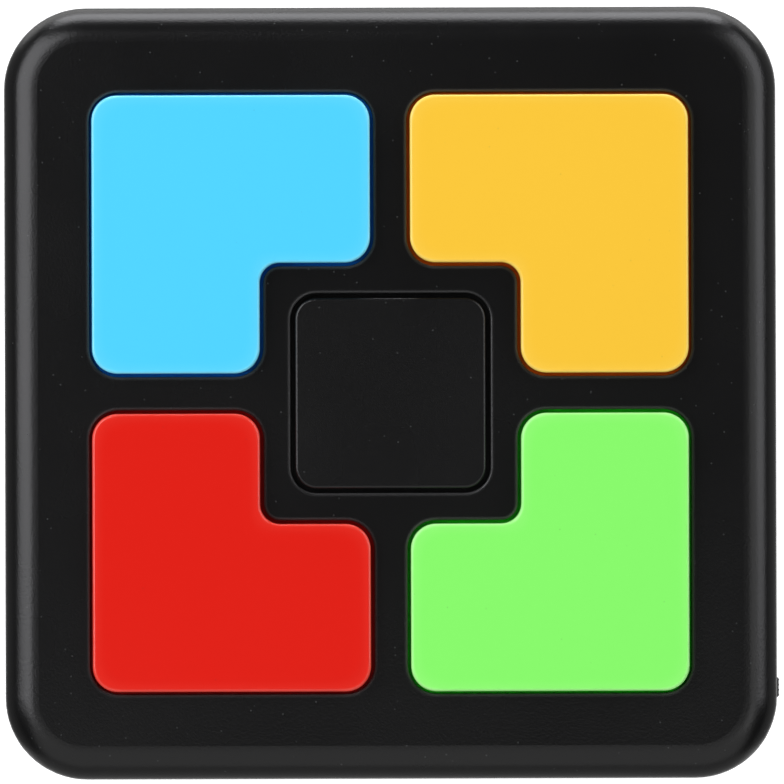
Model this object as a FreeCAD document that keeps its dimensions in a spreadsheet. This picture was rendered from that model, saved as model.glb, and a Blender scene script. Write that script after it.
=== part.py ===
import FreeCAD, Part
import math
import os
from types import SimpleNamespace

import Sketcher

# Hand-held electronic memory light game, lying on its back.
# Millimetres, +Z up through the buttons, origin at the middle of the back face.
# The case is two shells that meet half way up. Four L-shaped buttons sit round a square one.

DIMENSIONS = [
    # Case
    ("case_side", 95.0, "width and depth of the square case"),
    ("case_height", 30.0, "back face to front face"),
    ("case_corner_radius", 10.1, "upright corners of the case"),
    ("parting_height", 15.0, "where the two shells meet"),
    ("parting_chamfer", 0.3, "groove along the joint of the shells"),
    ("side_wall", 2.2, "side wall of both shells"),
    ("front_wall", 2.2, "wall that the buttons come through"),
    ("rear_wall", 2.2, "back wall"),
    ("front_edge_radius", 4.4, "rounded front edge"),
    ("rear_edge_radius", 2.5, "rounded back edge"),
    ("hollow_edge_radius", 1.2, "inside edges of the shells"),
    ("lip_height", 1.3, "lip of the rear shell above the joint"),
    ("lip_wall", 1.0, "thickness of the lip"),
    ("lip_gap", 0.15, "lip to the front shell"),
    ("lip_root", 2.5, "depth that the lip is rooted below the joint"),
    # Colour buttons
    ("button_outer", 36.4, "middle of the case to a button's far edge"),
    ("button_inner", 2.45, "middle of the case to a button's near edge"),
    ("button_notch", 15.95, "middle of the case to a button's notch"),
    ("button_corner_radius", 3.1, "outward corners of a button"),
    ("button_elbow_radius", 2.45, "inward corner of a button"),
    ("button_gap", 0.4, "button to its opening"),
    ("button_proud", 1.6, "button above the front face"),
    ("button_skin", 1.8, "top wall of a button"),
    ("button_skirt", 1.5, "side wall of a button"),
    ("button_edge_radius", 0.35, "top edge of a button"),
    ("opening_edge_radius", 0.3, "front edge of an opening"),
    ("flange_reach", 1.0, "flange beyond the opening"),
    ("flange_thickness", 1.2, "flange that stops a button"),
    ("post_radius", 3.0, "post that presses a dome"),
    # Centre button
    ("centre_half", 11.65, "half the side of the centre button"),
    ("centre_corner_radius", 2.6, "corners of the centre button"),
    ("centre_gap", 0.55, "centre button to its opening"),
    ("centre_proud", 0.6, "centre button above the front face"),
    ("centre_reach", 0.65, "centre flange beyond the opening"),
    # Guide ribs behind the front wall
    ("rib_gap", 0.45, "flange to a guide rib"),
    ("rib_wall", 1.2, "outer guide rib and cross ribs"),
    ("rib_clearance", 0.2, "rib to the circuit board"),
    # Circuit board and what is on it
    ("board_height", 18.0, "underside of the board"),
    ("board_thickness", 1.6, "thickness of the board"),
    ("board_gap", 1.0, "board to the side wall"),
    ("boss_gap", 0.4, "board or lip to a screw boss"),
    ("pad_inset", 2.0, "rubber pad inside the button's outline"),
    ("pad_base", 1.0, "base of a rubber pad"),
    ("dome_radius", 3.6, "rubber dome"),
    ("dome_height", 2.0, "rubber dome above the pad"),
    ("dome_edge_radius", 0.8, "rounded shoulder of a dome"),
    ("plunger_radius", 2.4, "top of a dome"),
    ("plunger_height", 1.3, "top of a dome above its shoulder"),
    ("dome_gap", 0.1, "dome to the post above it"),
    ("centre_pad_half", 9.0, "half the side of the centre pad"),
    ("led_radius", 1.5, "light bulb"),
    ("led_rim_radius", 1.9, "rim at the bulb's foot"),
    ("led_rim_height", 1.0, "rim at the bulb's foot"),
    ("led_body", 3.8, "straight part of the bulb"),
    ("led_hole_gap", 0.6, "rim to the hole in the pad"),
    ("chip_radius", 6.0, "cap over the chip"),
    ("chip_height", 1.3, "cap over the chip"),
    ("chip_flat", 4.2, "flat end of the cap"),
    ("chip_x", -14.0, "place of the chip"),
    ("chip_y", 30.0, "place of the chip"),
    ("capacitor_radius", 2.5, "capacitor can"),
    ("capacitor_height", 6.0, "capacitor can"),
    ("capacitor_x", 17.0, "place of the capacitor"),
    ("capacitor_y", 34.0, "place of the capacitor"),
    ("resistor_radius", 0.9, "resistor body"),
    ("resistor_length", 5.0, "resistor body"),
    ("resistor_pitch", 3.2, "one resistor to the next"),
    ("resistor_count", 4, "resistors in a row"),
    ("resistor_x", -33.0, "left end of the resistors"),
    ("resistor_y", 6.0, "first resistor"),
    ("part_gap", 0.1, "round part to the board"),
    # Screws
    ("case_screw_x", 33.0, "middle of the case to a case screw, along X"),
    ("boss_sink", 0.1, "boss into the side wall"),
    ("case_boss_radius", 3.4, "front bosses of the case screws"),
    ("case_post_radius", 3.7, "rear posts of the case screws"),
    ("well_radius", 2.5, "well for a screw head"),
    ("well_depth", 9.0, "well for a screw head"),
    ("case_screw_radius", 1.3, "shank"),
    ("case_screw_length", 12.0, "shank"),
    ("case_head_radius", 2.2, "head"),
    ("case_head_height", 1.8, "head"),
    ("case_pilot_depth", 7.5, "pilot hole in the front boss"),
    ("board_boss_radius", 3.2, "bosses of the board screws"),
    ("board_screw_radius", 0.95, "shank"),
    ("board_screw_length", 6.4, "shank"),
    ("board_head_radius", 1.9, "head"),
    ("board_head_height", 1.3, "head"),
    ("board_pilot_depth", 6.0, "pilot hole in the board boss"),
    ("door_screw_radius", 0.9, "shank"),
    ("door_screw_length", 6.0, "shank"),
    ("door_head_radius", 1.7, "head"),
    ("door_head_height", 1.0, "head"),
    ("pilot_gap", 0.05, "shank to its pilot hole"),
    ("shank_gap", 0.2, "shank to a hole that it passes"),
    ("cross_depth", 0.8, "cross recess in a head"),
    ("cross_reach", 0.6, "cross recess as a share of the head's radius"),
    ("cross_half", 0.25, "half the width of a slot of the cross"),
    ("screw_point", 1.2, "tapered point of a screw"),
    # Power switch
    ("switch_place", 35.9, "middle of the case to the slot, along -Y"),
    ("switch_travel", 2.0, "travel of the knob"),
    ("slot_gap", 0.35, "knob to the slot in the case"),
    ("knob_length", 2.6, "knob along the slot"),
    ("knob_height", 1.5, "knob across the slot"),
    ("knob_reach", 0.95, "knob beyond the side wall"),
    ("knob_edge_radius", 0.4, "rounded end of the knob"),
    ("slider_length", 3.0, "slider inside the switch"),
    ("slider_depth", 2.0, "slider inside the switch"),
    ("slider_height", 2.2, "slider inside the switch"),
    ("slider_gap", 0.15, "slider to the switch housing"),
    ("switch_wall", 0.6, "wall of the switch housing"),
    ("switch_setback", 1.5, "switch housing to the side wall"),
    # Battery bay, cells and contacts
    ("bay_place", 14.0, "middle of the case to the bay's middle, along -Y"),
    ("cell_radius", 5.25, "cell"),
    ("cell_length", 43.5, "cell without its nub"),
    ("cell_edge", 0.6, "bevelled ends of a cell"),
    ("nub_radius", 1.9, "positive nub"),
    ("nub_height", 1.0, "positive nub"),
    ("cell_spacing", 0.7, "one cell to the next"),
    ("cell_gap", 0.3, "cell to the door and to the roof of the bay"),
    ("bay_side_gap", 0.6, "outer cell to the bay's side"),
    ("bay_wall", 1.5, "walls of the bay"),
    ("bay_roof", 1.4, "roof of the bay"),
    ("divider_wall", 1.0, "rib between two cells"),
    ("divider_drop", 2.1, "rib between two cells"),
    ("divider_half", 18.0, "half the length of a rib between two cells"),
    ("plate_thickness", 0.4, "contact plates"),
    ("plate_width", 8.4, "contact plates"),
    ("plate_height", 8.4, "contact plates"),
    ("plate_foot", 1.1, "cell's underside to a contact plate"),
    ("tab_width", 2.4, "solder tab of an end contact"),
    ("tab_reach", 1.1, "solder tab above the bay's roof"),
    ("tab_gap", 0.3, "solder tab to its slot"),
    ("leaf_space", 5.5, "contact plate to the flat end of a cell"),
    ("leaf_sheet", 0.4, "sheet of a contact leaf"),
    ("leaf_width", 4.0, "contact leaf"),
    ("leaf_half", 3.6, "cell's axis to either end of a leaf"),
    ("leaf_foot", 1.4, "foot of a leaf, flat on its plate"),
    ("leaf_crest", 0.5, "half the flat crest that meets the cell"),
    ("leaf_fall", 1.8, "crest to the free end, back towards the plate"),
    ("leaf_gap", 0.05, "crest to the cell"),
    # Battery door
    ("door_thickness", 1.8, "battery door"),
    ("door_recess", 0.2, "door below the back face"),
    ("door_gap", 0.25, "door to its recess"),
    ("door_corner_radius", 2.0, "corners of the door"),
    ("ledge_end", 5.6, "ledge at the bay's ends"),
    ("ledge_side", 2.0, "ledge at the bay's sides"),
    ("ledge_margin", 1.4, "ledge block beyond the recess"),
    ("ledge_thickness", 2.0, "ledge that the door lies on"),
    ("door_screw_inset", 3.0, "bay's end to a door screw"),
    ("door_boss_radius", 2.6, "boss of a door screw"),
    ("door_boss_height", 5.0, "boss of a door screw above the ledge"),
    ("door_pilot_depth", 6.5, "pilot hole above the ledge's face"),
    ("door_head_gap", 0.2, "head to its counterbore"),
    ("door_head_sink", 1.1, "depth of the counterbore"),
    ("door_rib_wall", 1.1, "locating rib of the door"),
    ("door_rib_height", 1.3, "locating rib of the door"),
    ("door_rib_gap", 0.3, "locating rib to the bay's side"),
    ("door_rib_half", 20.0, "half the length of a locating rib"),
    # Speaker and its leads
    ("speaker_y", 27.0, "middle of the case to the speaker's axis"),
    ("speaker_radius", 14.0, "speaker frame"),
    ("speaker_rim", 1.8, "width of the frame's rim"),
    ("speaker_rim_height", 1.0, "rim of the frame"),
    ("speaker_height", 4.2, "frame's back above the case wall"),
    ("speaker_sheet", 0.6, "sheet of the frame"),
    ("speaker_waist", 9.0, "frame where it meets its back"),
    ("speaker_eye", 3.0, "hole in the frame's back"),
    ("magnet_radius", 7.0, "magnet"),
    ("magnet_height", 3.4, "magnet"),
    ("cone_sheet", 0.4, "paper cone"),
    ("cone_foot", 0.3, "cone's edge above the case wall"),
    ("cone_depth", 2.0, "cone from its edge to its neck"),
    ("cone_neck", 3.4, "neck of the cone"),
    ("cone_gap", 0.3, "cone to the rim"),
    ("cap_drop", 0.7, "dust cap below the neck"),
    ("strip_half", 4.0, "half the length of the terminal strip"),
    ("strip_width", 1.2, "terminal strip"),
    ("strip_inset", 1.1, "frame's edge to the middle of the strip"),
    ("strip_height", 1.2, "terminal strip"),
    ("ring_gap", 0.3, "speaker to the ring that holds it"),
    ("ring_wall", 1.2, "ring that holds the speaker"),
    ("ring_height", 4.0, "ring that holds the speaker"),
    ("sound_hole_radius", 1.0, "one hole of the grille"),
    ("sound_ring_pitch", 4.0, "one ring of holes to the next"),
    ("sound_rings", 2, "rings of holes round the middle one"),
    ("lead_radius", 0.5, "insulated lead"),
    ("lead_half_gap", 2.5, "middle of the strip to a speaker lead"),
    ("lead_spread", 4.5, "sideways shift of a speaker lead"),
    ("battery_lead_run", 4.5, "tab to the rise of a battery lead"),
]

LEVEL_TOLERANCE = 1e-4
VOLUME_TOLERANCE = 0.02
BEND_SHARE = 0.45     # how much of the shorter run beside it a lead's bend takes up
HOLES_PER_RING = 6    # each ring of sound holes has this many more than the one inside it
SUBPARTS = []


# ---------------------------------------------------------------------------
# Sizes: each is a number together with the spreadsheet expression that gives it
# ---------------------------------------------------------------------------

class Size:
    """A size and the expression, in cells of the sheet, that gives it."""

    def __init__(self, value, text):
        self.value = float(value)
        self.text = text

    def __add__(self, other):
        other = as_size(other)
        return Size(self.value + other.value, f"({self.text} + {other.text})")

    def __sub__(self, other):
        other = as_size(other)
        return Size(self.value - other.value, f"({self.text} - {other.text})")

    def __mul__(self, other):
        other = as_size(other)
        return Size(self.value * other.value, f"({self.text} * {other.text})")

    def __truediv__(self, other):
        other = as_size(other)
        return Size(self.value / other.value, f"({self.text} / {other.text})")

    def __neg__(self):
        return Size(-self.value, f"(-{self.text})")


def as_size(number):
    """A plain number as a Size."""
    if isinstance(number, Size):
        return number
    return Size(number, repr(number))


def fill_sheet(document):
    """Write the driving dimensions to a sheet and give them back by name."""
    sheet = document.addObject("Spreadsheet::Sheet", "dims")
    sizes = {}
    for row, (alias, value, meaning) in enumerate(DIMENSIONS, start=1):
        sheet.set(f"A{row}", alias.replace("_", " "))
        sheet.set(f"B{row}", repr(value))
        sheet.set(f"C{row}", meaning)
        sheet.setAlias(f"B{row}", alias)
        sizes[alias] = Size(value, f"dims.{alias}")
    document.recompute()
    return SimpleNamespace(**sizes)


doc = FreeCAD.newDocument("memory_light_game")
dim = fill_sheet(doc)
ZERO = Size(0, "0")

half_case = dim.case_side / 2
hollow_half = half_case - dim.side_wall
hollow_radius = dim.case_corner_radius - dim.side_wall
front_under = dim.case_height - dim.front_wall
board_top = dim.board_height + dim.board_thickness
rib_foot = board_top + dim.rib_clearance
button_top = dim.case_height + dim.button_proud
centre_top = dim.case_height + dim.centre_proud
flange_foot = front_under - dim.flange_thickness
dome_top = board_top + dim.pad_base + dim.dome_height + dim.plunger_height
post_foot = dome_top + dim.dome_gap
arm_middle = (dim.button_notch + dim.button_outer) / 2
arm_end = (dim.button_inner + dim.button_notch) / 2
case_screw_y = hollow_half + dim.boss_sink - dim.case_boss_radius
board_screw_place = hollow_half + dim.boss_sink - dim.board_boss_radius
cell_pitch = dim.cell_radius * 2 + dim.cell_spacing
centre_opening = dim.centre_half + dim.centre_gap
centre_flange = centre_opening + dim.centre_reach
switch_y = -dim.switch_place
switch_level = dim.parting_height + dim.slot_gap + dim.knob_height / 2
switch_face = hollow_half - dim.switch_setback
ledge_face = dim.door_recess + dim.door_thickness
bay_y = -dim.bay_place
bay_half = (dim.cell_length + dim.nub_height + dim.leaf_space) / 2 + dim.plate_thickness
bay_half_width = cell_pitch + dim.cell_radius + dim.bay_side_gap
cell_level = ledge_face + dim.cell_gap + dim.cell_radius
bay_ceiling = cell_level + dim.cell_radius + dim.cell_gap
bay_top = bay_ceiling + dim.bay_roof
door_screw_x = bay_half + dim.door_screw_inset
recess_half = bay_half + dim.ledge_end
recess_half_width = bay_half_width + dim.ledge_side
plate_face = bay_half - dim.plate_thickness
plate_foot = ledge_face + dim.cell_gap + dim.plate_foot
tab_top = bay_top + dim.tab_reach


# ---------------------------------------------------------------------------
# Helpers for sketches
# ---------------------------------------------------------------------------

def bind(thing, path, size):
    """Tie one property of an object to the sheet."""
    thing.setExpression(path, as_size(size).text)


def new_body(label):
    """A body that becomes one sub-part."""
    body = doc.addObject("PartDesign::Body", label)
    body.Label = label
    return body


def sketch_on(body, purpose, height=ZERO, plane="XY_Plane"):
    """A sketch parallel to one of the body's own origin planes."""
    sketch = body.newObject("Sketcher::SketchObject", f"{body.Name}_{purpose}")
    base = next(f for f in body.Origin.OriginFeatures if f.Role == plane)
    sketch.AttachmentSupport = [(base, "")]
    sketch.MapMode = "FlatFace"
    bind(sketch, "AttachmentOffset.Base.z", height)
    return sketch


def hold(sketch, kind, *where, size):
    """Add a measured constraint and tie it to the sheet."""
    index = sketch.addConstraint(Sketcher.Constraint(kind, *where, size.value))
    sketch.setExpression(f"Constraints[{index}]", size.text)


def hold_point(sketch, shape, end, x, y):
    """Fix a point of a sketch at (x, y); a zero puts it on the axis."""
    if x.text == ZERO.text:
        sketch.addConstraint(Sketcher.Constraint("PointOnObject", shape, end, -2))
    else:
        hold(sketch, "DistanceX", shape, end, size=x)
    if y.text == ZERO.text:
        sketch.addConstraint(Sketcher.Constraint("PointOnObject", shape, end, -1))
    else:
        hold(sketch, "DistanceY", shape, end, size=y)


def flat_point(x, y):
    return FreeCAD.Vector(as_size(x).value, as_size(y).value, 0)


def circle(sketch, x, y, radius):
    """A circle held by its middle and its radius."""
    round_line = Part.Circle(flat_point(x, y), FreeCAD.Vector(0, 0, 1), radius.value)
    index = sketch.addGeometry(round_line, False)
    hold(sketch, "Radius", index, size=radius)
    hold_point(sketch, index, 3, as_size(x), as_size(y))


def polygon(sketch, points):
    """A closed loop of straight lines with every corner fixed."""
    count = len(points)
    lines = []
    for index, (x, y) in enumerate(points):
        far = points[(index + 1) % count]
        lines.append(sketch.addGeometry(Part.LineSegment(flat_point(x, y), flat_point(*far)), False))
    for index, (x, y) in enumerate(points):
        sketch.addConstraint(Sketcher.Constraint("Coincident", lines[index - 1], 2, lines[index], 1))
        hold_point(sketch, lines[index], 1, as_size(x), as_size(y))


def outline(sketch, corners):
    """A closed loop of level and upright lines, with every corner rounded.

    corners: (x, y, radius) in order, anticlockwise round the loop.
    """
    count = len(corners)
    points = [flat_point(x, y) for x, y, _ in corners]
    ahead = [(points[(i + 1) % count] - points[i]).normalize() for i in range(count)]
    lines = []
    for i in range(count):
        start = points[i] + ahead[i] * corners[i][2].value
        end = points[(i + 1) % count] - ahead[i] * corners[(i + 1) % count][2].value
        lines.append(sketch.addGeometry(Part.LineSegment(start, end), False))
    for i, (x, y, radius) in enumerate(corners):
        bend = round_corner(points[i], ahead[i - 1], ahead[i], radius.value)
        arc = sketch.addGeometry(bend.arc, False)
        sketch.addConstraint(Sketcher.Constraint("Tangent", lines[i - 1], 2, arc, bend.first_end))
        sketch.addConstraint(Sketcher.Constraint("Tangent", arc, bend.last_end, lines[i], 1))
        hold(sketch, "Radius", arc, size=radius)
    for i, (x, y, _) in enumerate(corners):
        if abs(ahead[i].y) < LEVEL_TOLERANCE:
            sketch.addConstraint(Sketcher.Constraint("Horizontal", lines[i]))
            hold(sketch, "DistanceY", lines[i], 1, size=as_size(y))
        else:
            sketch.addConstraint(Sketcher.Constraint("Vertical", lines[i]))
            hold(sketch, "DistanceX", lines[i], 1, size=as_size(x))


def round_corner(corner, arriving, leaving, radius):
    """The arc that rounds a corner, and which of its ends comes first along the loop."""
    first = corner - arriving * radius
    last = corner + leaving * radius
    middle = first + leaving * radius
    left_turn = arriving.x * leaving.y - arriving.y * leaving.x > 0
    if left_turn:
        start, end = first, last
    else:
        start, end = last, first
    angles = [math.atan2(p.y - middle.y, p.x - middle.x) for p in (start, end)]
    whole = Part.Circle(middle, FreeCAD.Vector(0, 0, 1), radius)
    arc = Part.ArcOfCircle(whole, angles[0], angles[1])
    return SimpleNamespace(arc=arc, first_end=1 if left_turn else 2, last_end=2 if left_turn else 1)


def square(half, radius):
    """Corners of a rounded square round the origin."""
    return [(-half, -half, radius), (half, -half, radius), (half, half, radius), (-half, half, radius)]


def rectangle(left, right, bottom, top):
    """Corners of a sharp rectangle."""
    return [(left, bottom), (right, bottom), (right, top), (left, top)]


def rounded(points, radius):
    """The same corners, each with a radius."""
    return [(x, y, radius) for x, y in points]


def ell(inner, notch, outer, corner_radius, elbow_radius, quarter=0):
    """Corners of an L in the first quadrant, turned by a number of quarter turns."""
    corners = [
        (notch, inner, corner_radius),
        (outer, inner, corner_radius),
        (outer, outer, corner_radius),
        (inner, outer, corner_radius),
        (inner, notch, corner_radius),
        (notch, notch, elbow_radius),
    ]
    for _ in range(quarter):
        corners = [(-y, x, radius) for x, y, radius in corners]
    return corners


def grown_ell(growth, quarter=0):
    """A button's outline, grown by a distance all round."""
    return ell(
        dim.button_inner - growth,
        dim.button_notch - growth,
        dim.button_outer + growth,
        dim.button_corner_radius + growth,
        dim.button_elbow_radius - growth,
        quarter,
    )


# ---------------------------------------------------------------------------
# Helpers for features
# ---------------------------------------------------------------------------

def volume_of(body):
    if body.Tip is None:
        return 0.0
    doc.recompute()
    return body.Tip.Shape.Volume


def set_up(body, kind, name, **settings):
    """Add a feature to a body, with its sizes tied to the sheet."""
    feature = body.newObject(kind, f"{body.Name}_{name}")
    for path, setting in settings.items():
        if isinstance(setting, Size):
            bind(feature, path, setting)
        else:
            setattr(feature, path, setting)
    body.Tip = feature
    doc.recompute()
    return feature


def pad(body, sketch, length):
    """Raise a sketch along its normal, and make sure that the body grew."""
    before = volume_of(body)
    feature = set_up(body, "PartDesign::Pad", f"{sketch.Name}_pad", Profile=sketch, Length=length)
    if not feature.Shape.Volume > before:
        raise RuntimeError(f"{feature.Name} added nothing")
    return feature


def pocket(body, sketch, depth):
    """Cut a sketch upward along its normal, and make sure that the body shrank."""
    before = volume_of(body)
    name = f"{sketch.Name}_cut"
    feature = set_up(body, "PartDesign::Pocket", name, Profile=sketch, Reversed=True, Length=depth)
    if not feature.Shape.Volume < before:
        raise RuntimeError(f"{feature.Name} cut nothing")
    return feature


def revolve(body, sketch):
    """Turn a sketch on the XZ plane about the body's Z axis."""
    settings = {"Profile": sketch, "ReferenceAxis": (sketch, ["V_Axis"]), "Angle": 360.0}
    return set_up(body, "PartDesign::Revolution", f"{sketch.Name}_turned", **settings)


def edges_at(body, height, within=None):
    """Names of the tip's edges that lie level at a height, inside a reach from the middle."""
    doc.recompute()
    names = []
    for index, edge in enumerate(body.Tip.Shape.Edges, start=1):
        box = edge.BoundBox
        level = max(abs(box.ZMin - height.value), abs(box.ZMax - height.value)) < LEVEL_TOLERANCE
        reach = max(abs(box.XMin), abs(box.XMax), abs(box.YMin), abs(box.YMax))
        if level and (within is None or reach < within.value + LEVEL_TOLERANCE):
            names.append(f"Edge{index}")
    return names


def fillet(body, name, radius, edges):
    return set_up(body, "PartDesign::Fillet", name, Base=(body.Tip, edges), Radius=radius)


def chamfer(body, name, size, edges):
    return set_up(body, "PartDesign::Chamfer", name, Base=(body.Tip, edges), Size=size)


def keep(thing, label):
    """List an object as a sub-part of the game."""
    thing.Label = label
    SUBPARTS.append(thing)
    return thing


def stand_at(thing, x=ZERO, y=ZERO, z=ZERO, turn=None):
    """Place an object, with its place tied to the sheet."""
    if turn is not None:
        thing.Placement = FreeCAD.Placement(FreeCAD.Vector(), turn)
    for letter, size in (("x", x), ("y", y), ("z", z)):
        bind(thing, f"Placement.Base.{letter}", size)
    return thing


def cylinder(name, radius, height):
    piece = doc.addObject("Part::Cylinder", name)
    bind(piece, "Radius", radius)
    bind(piece, "Height", height)
    return piece


def box(name, length, width, height):
    piece = doc.addObject("Part::Box", name)
    bind(piece, "Length", length)
    bind(piece, "Width", width)
    bind(piece, "Height", height)
    return piece


def fused(name, pieces):
    whole = doc.addObject("Part::MultiFuse", name)
    whole.Shapes = pieces
    return whole


def copies(label, master, places, turns=None):
    """One sub-part that holds several equal pieces, each a link to the master."""
    links = []
    for index, (x, y, z) in enumerate(places):
        link = doc.addObject("App::Link", f"{label}_{index + 1}")
        link.LinkedObject = master
        stand_at(link, x, y, z, None if turns is None else turns[index])
        links.append(link)
    group = doc.addObject("Part::Compound", label)
    group.Links = links
    return keep(group, label)


TURN_TO_PLUS_X = FreeCAD.Rotation(FreeCAD.Vector(0, 1, 0), 90)
TURN_TO_MINUS_X = FreeCAD.Rotation(FreeCAD.Vector(0, 1, 0), -90)
UPRIGHT = FreeCAD.Vector(0, 0, 1)

case_screw_places = [
    (-dim.case_screw_x, -case_screw_y),
    (dim.case_screw_x, -case_screw_y),
    (dim.case_screw_x, case_screw_y),
    (-dim.case_screw_x, case_screw_y),
]
board_screw_places = [
    (board_screw_place, ZERO),
    (ZERO, board_screw_place),
    (-board_screw_place, ZERO),
    (ZERO, -board_screw_place),
]
door_screw_places = [(door_screw_x, bay_y), (-door_screw_x, bay_y)]


def circles(sketch, places, radius):
    for x, y in places:
        circle(sketch, x, y, radius)


# ---------------------------------------------------------------------------
# Front case: the moulded shell with the button openings, guide ribs and bosses
# ---------------------------------------------------------------------------

def make_front_case():
    body = new_body("front_case")
    shell = sketch_on(body, "shell", dim.parting_height)
    outline(shell, square(half_case, dim.case_corner_radius))
    pad(body, shell, dim.case_height - dim.parting_height)
    fillet(body, "front_edge", dim.front_edge_radius, edges_at(body, dim.case_height))
    chamfer(body, "joint_edge", dim.parting_chamfer, edges_at(body, dim.parting_height))

    hollow = sketch_on(body, "hollow", dim.parting_height)
    outline(hollow, square(hollow_half, hollow_radius))
    pocket(body, hollow, front_under - dim.parting_height)
    fillet(body, "inside_edge", dim.hollow_edge_radius, edges_at(body, front_under))

    openings = sketch_on(body, "openings", front_under)
    for quarter in range(4):
        outline(openings, grown_ell(dim.button_gap, quarter))
    outline(openings, square(centre_opening, dim.centre_corner_radius + dim.centre_gap))
    pocket(body, openings, dim.front_wall)
    opening_edges = edges_at(body, dim.case_height, dim.button_outer + dim.button_gap)
    fillet(body, "opening_edge", dim.opening_edge_radius, opening_edges)

    add_guide_ribs(body)
    bosses = sketch_on(body, "case_bosses", dim.parting_height)
    circles(bosses, case_screw_places, dim.case_boss_radius)
    pad(body, bosses, front_under - dim.parting_height)
    board_bosses = sketch_on(body, "board_bosses", board_top)
    circles(board_bosses, board_screw_places, dim.board_boss_radius)
    pad(body, board_bosses, front_under - board_top)
    case_pilots = sketch_on(body, "case_pilots", dim.parting_height)
    circles(case_pilots, case_screw_places, dim.case_screw_radius + dim.pilot_gap)
    pocket(body, case_pilots, dim.case_pilot_depth)
    board_pilots = sketch_on(body, "board_pilots", board_top)
    circles(board_pilots, board_screw_places, dim.board_screw_radius + dim.pilot_gap)
    pocket(body, board_pilots, dim.board_pilot_depth)

    slot_half = (dim.knob_length + dim.switch_travel) / 2 + dim.slot_gap
    slot = sketch_on(body, "switch_slot", dim.parting_height)
    reach = half_case + dim.side_wall
    polygon(slot, rectangle(switch_face, reach, switch_y - slot_half, switch_y + slot_half))
    pocket(body, slot, dim.knob_height + dim.slot_gap * 2)
    return keep(body, "front_case")


def add_guide_ribs(body):
    """Ribs between the flanges, from the front wall down to just above the board."""
    room = dim.button_gap + dim.flange_reach + dim.rib_gap
    ring_outer = dim.button_outer + room + dim.rib_wall
    ring_radius = dim.button_corner_radius + room + dim.rib_wall
    ribs = sketch_on(body, "guide_ribs", rib_foot)
    outline(ribs, square(ring_outer, ring_radius))
    for quarter in range(4):
        outline(ribs, guide_space(room, quarter))
    outline(ribs, square(centre_flange + dim.rib_gap, dim.centre_corner_radius + dim.centre_reach))
    pad(body, ribs, front_under - rib_foot)


def guide_space(room, quarter):
    """The space between the ribs for one flange."""
    return ell(
        dim.button_inner - room,
        dim.button_notch - room,
        dim.button_outer + room,
        dim.button_corner_radius + room,
        dim.button_elbow_radius - dim.button_gap - dim.flange_reach,
        quarter,
    )


# ---------------------------------------------------------------------------
# Colour buttons: glossy L-shaped caps with a flange, a hollow and two posts
# ---------------------------------------------------------------------------

def make_colour_button(label, quarter):
    body = new_body(label)
    flange = sketch_on(body, "flange", flange_foot)
    outline(flange, grown_ell(dim.button_gap + dim.flange_reach))
    pad(body, flange, dim.flange_thickness)
    cap = sketch_on(body, "cap", flange_foot)
    outline(cap, grown_ell(ZERO))
    pad(body, cap, button_top - flange_foot)
    fillet(body, "top_edge", dim.button_edge_radius, edges_at(body, button_top))
    hollow = sketch_on(body, "hollow", flange_foot)
    outline(hollow, grown_ell(-dim.button_skirt))
    pocket(body, hollow, button_top - dim.button_skin - flange_foot)
    posts = sketch_on(body, "posts", post_foot)
    circles(posts, [(arm_middle, arm_end), (arm_end, arm_middle)], dim.post_radius)
    pad(body, posts, button_top - dim.button_skin - post_foot)
    body.Placement = FreeCAD.Placement(FreeCAD.Vector(), FreeCAD.Rotation(UPRIGHT, 90 * quarter))
    return keep(body, label)


def make_centre_button():
    """The square matt button in the middle, with one post."""
    body = new_body("centre_button")
    flange = sketch_on(body, "flange", flange_foot)
    flange_radius = dim.centre_corner_radius + dim.centre_gap + dim.centre_reach
    outline(flange, square(centre_flange, flange_radius))
    pad(body, flange, dim.flange_thickness)
    cap = sketch_on(body, "cap", flange_foot)
    outline(cap, square(dim.centre_half, dim.centre_corner_radius))
    pad(body, cap, centre_top - flange_foot)
    fillet(body, "top_edge", dim.button_edge_radius, edges_at(body, centre_top))
    hollow = sketch_on(body, "hollow", flange_foot)
    inside = dim.centre_half - dim.button_skirt
    outline(hollow, square(inside, dim.centre_corner_radius - dim.button_skirt))
    pocket(body, hollow, centre_top - dim.button_skin - flange_foot)
    post = sketch_on(body, "post", post_foot)
    circle(post, ZERO, ZERO, dim.post_radius)
    pad(body, post, centre_top - dim.button_skin - post_foot)
    return keep(body, "centre_button")


# ---------------------------------------------------------------------------
# Rubber pads with domes, on top of the board
# ---------------------------------------------------------------------------

def add_domes(body, places):
    """Round-shouldered domes, each with a plunger that meets a post."""
    pad_top = board_top + dim.pad_base
    domes = sketch_on(body, "domes", pad_top)
    circles(domes, places, dim.dome_radius)
    pad(body, domes, dim.dome_height)
    shoulder = pad_top + dim.dome_height
    fillet(body, "shoulders", dim.dome_edge_radius, edges_at(body, shoulder))
    plungers = sketch_on(body, "plungers", shoulder)
    circles(plungers, places, dim.plunger_radius)
    pad(body, plungers, dim.plunger_height)


def make_colour_pad(label, quarter):
    body = new_body(label)
    base = sketch_on(body, "base", board_top)
    outline(base, grown_ell(-dim.pad_inset))
    pad(body, base, dim.pad_base)
    add_domes(body, [(arm_middle, arm_end), (arm_end, arm_middle)])
    hole = sketch_on(body, "light_hole", board_top)
    circle(hole, arm_middle, arm_middle, dim.led_rim_radius + dim.led_hole_gap)
    pocket(body, hole, dim.pad_base)
    body.Placement = FreeCAD.Placement(FreeCAD.Vector(), FreeCAD.Rotation(UPRIGHT, 90 * quarter))
    return keep(body, label)


def make_centre_pad():
    body = new_body("pad_centre")
    base = sketch_on(body, "base", board_top)
    outline(base, square(dim.centre_pad_half, dim.centre_corner_radius))
    pad(body, base, dim.pad_base)
    add_domes(body, [(ZERO, ZERO)])
    return keep(body, "pad_centre")


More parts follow.
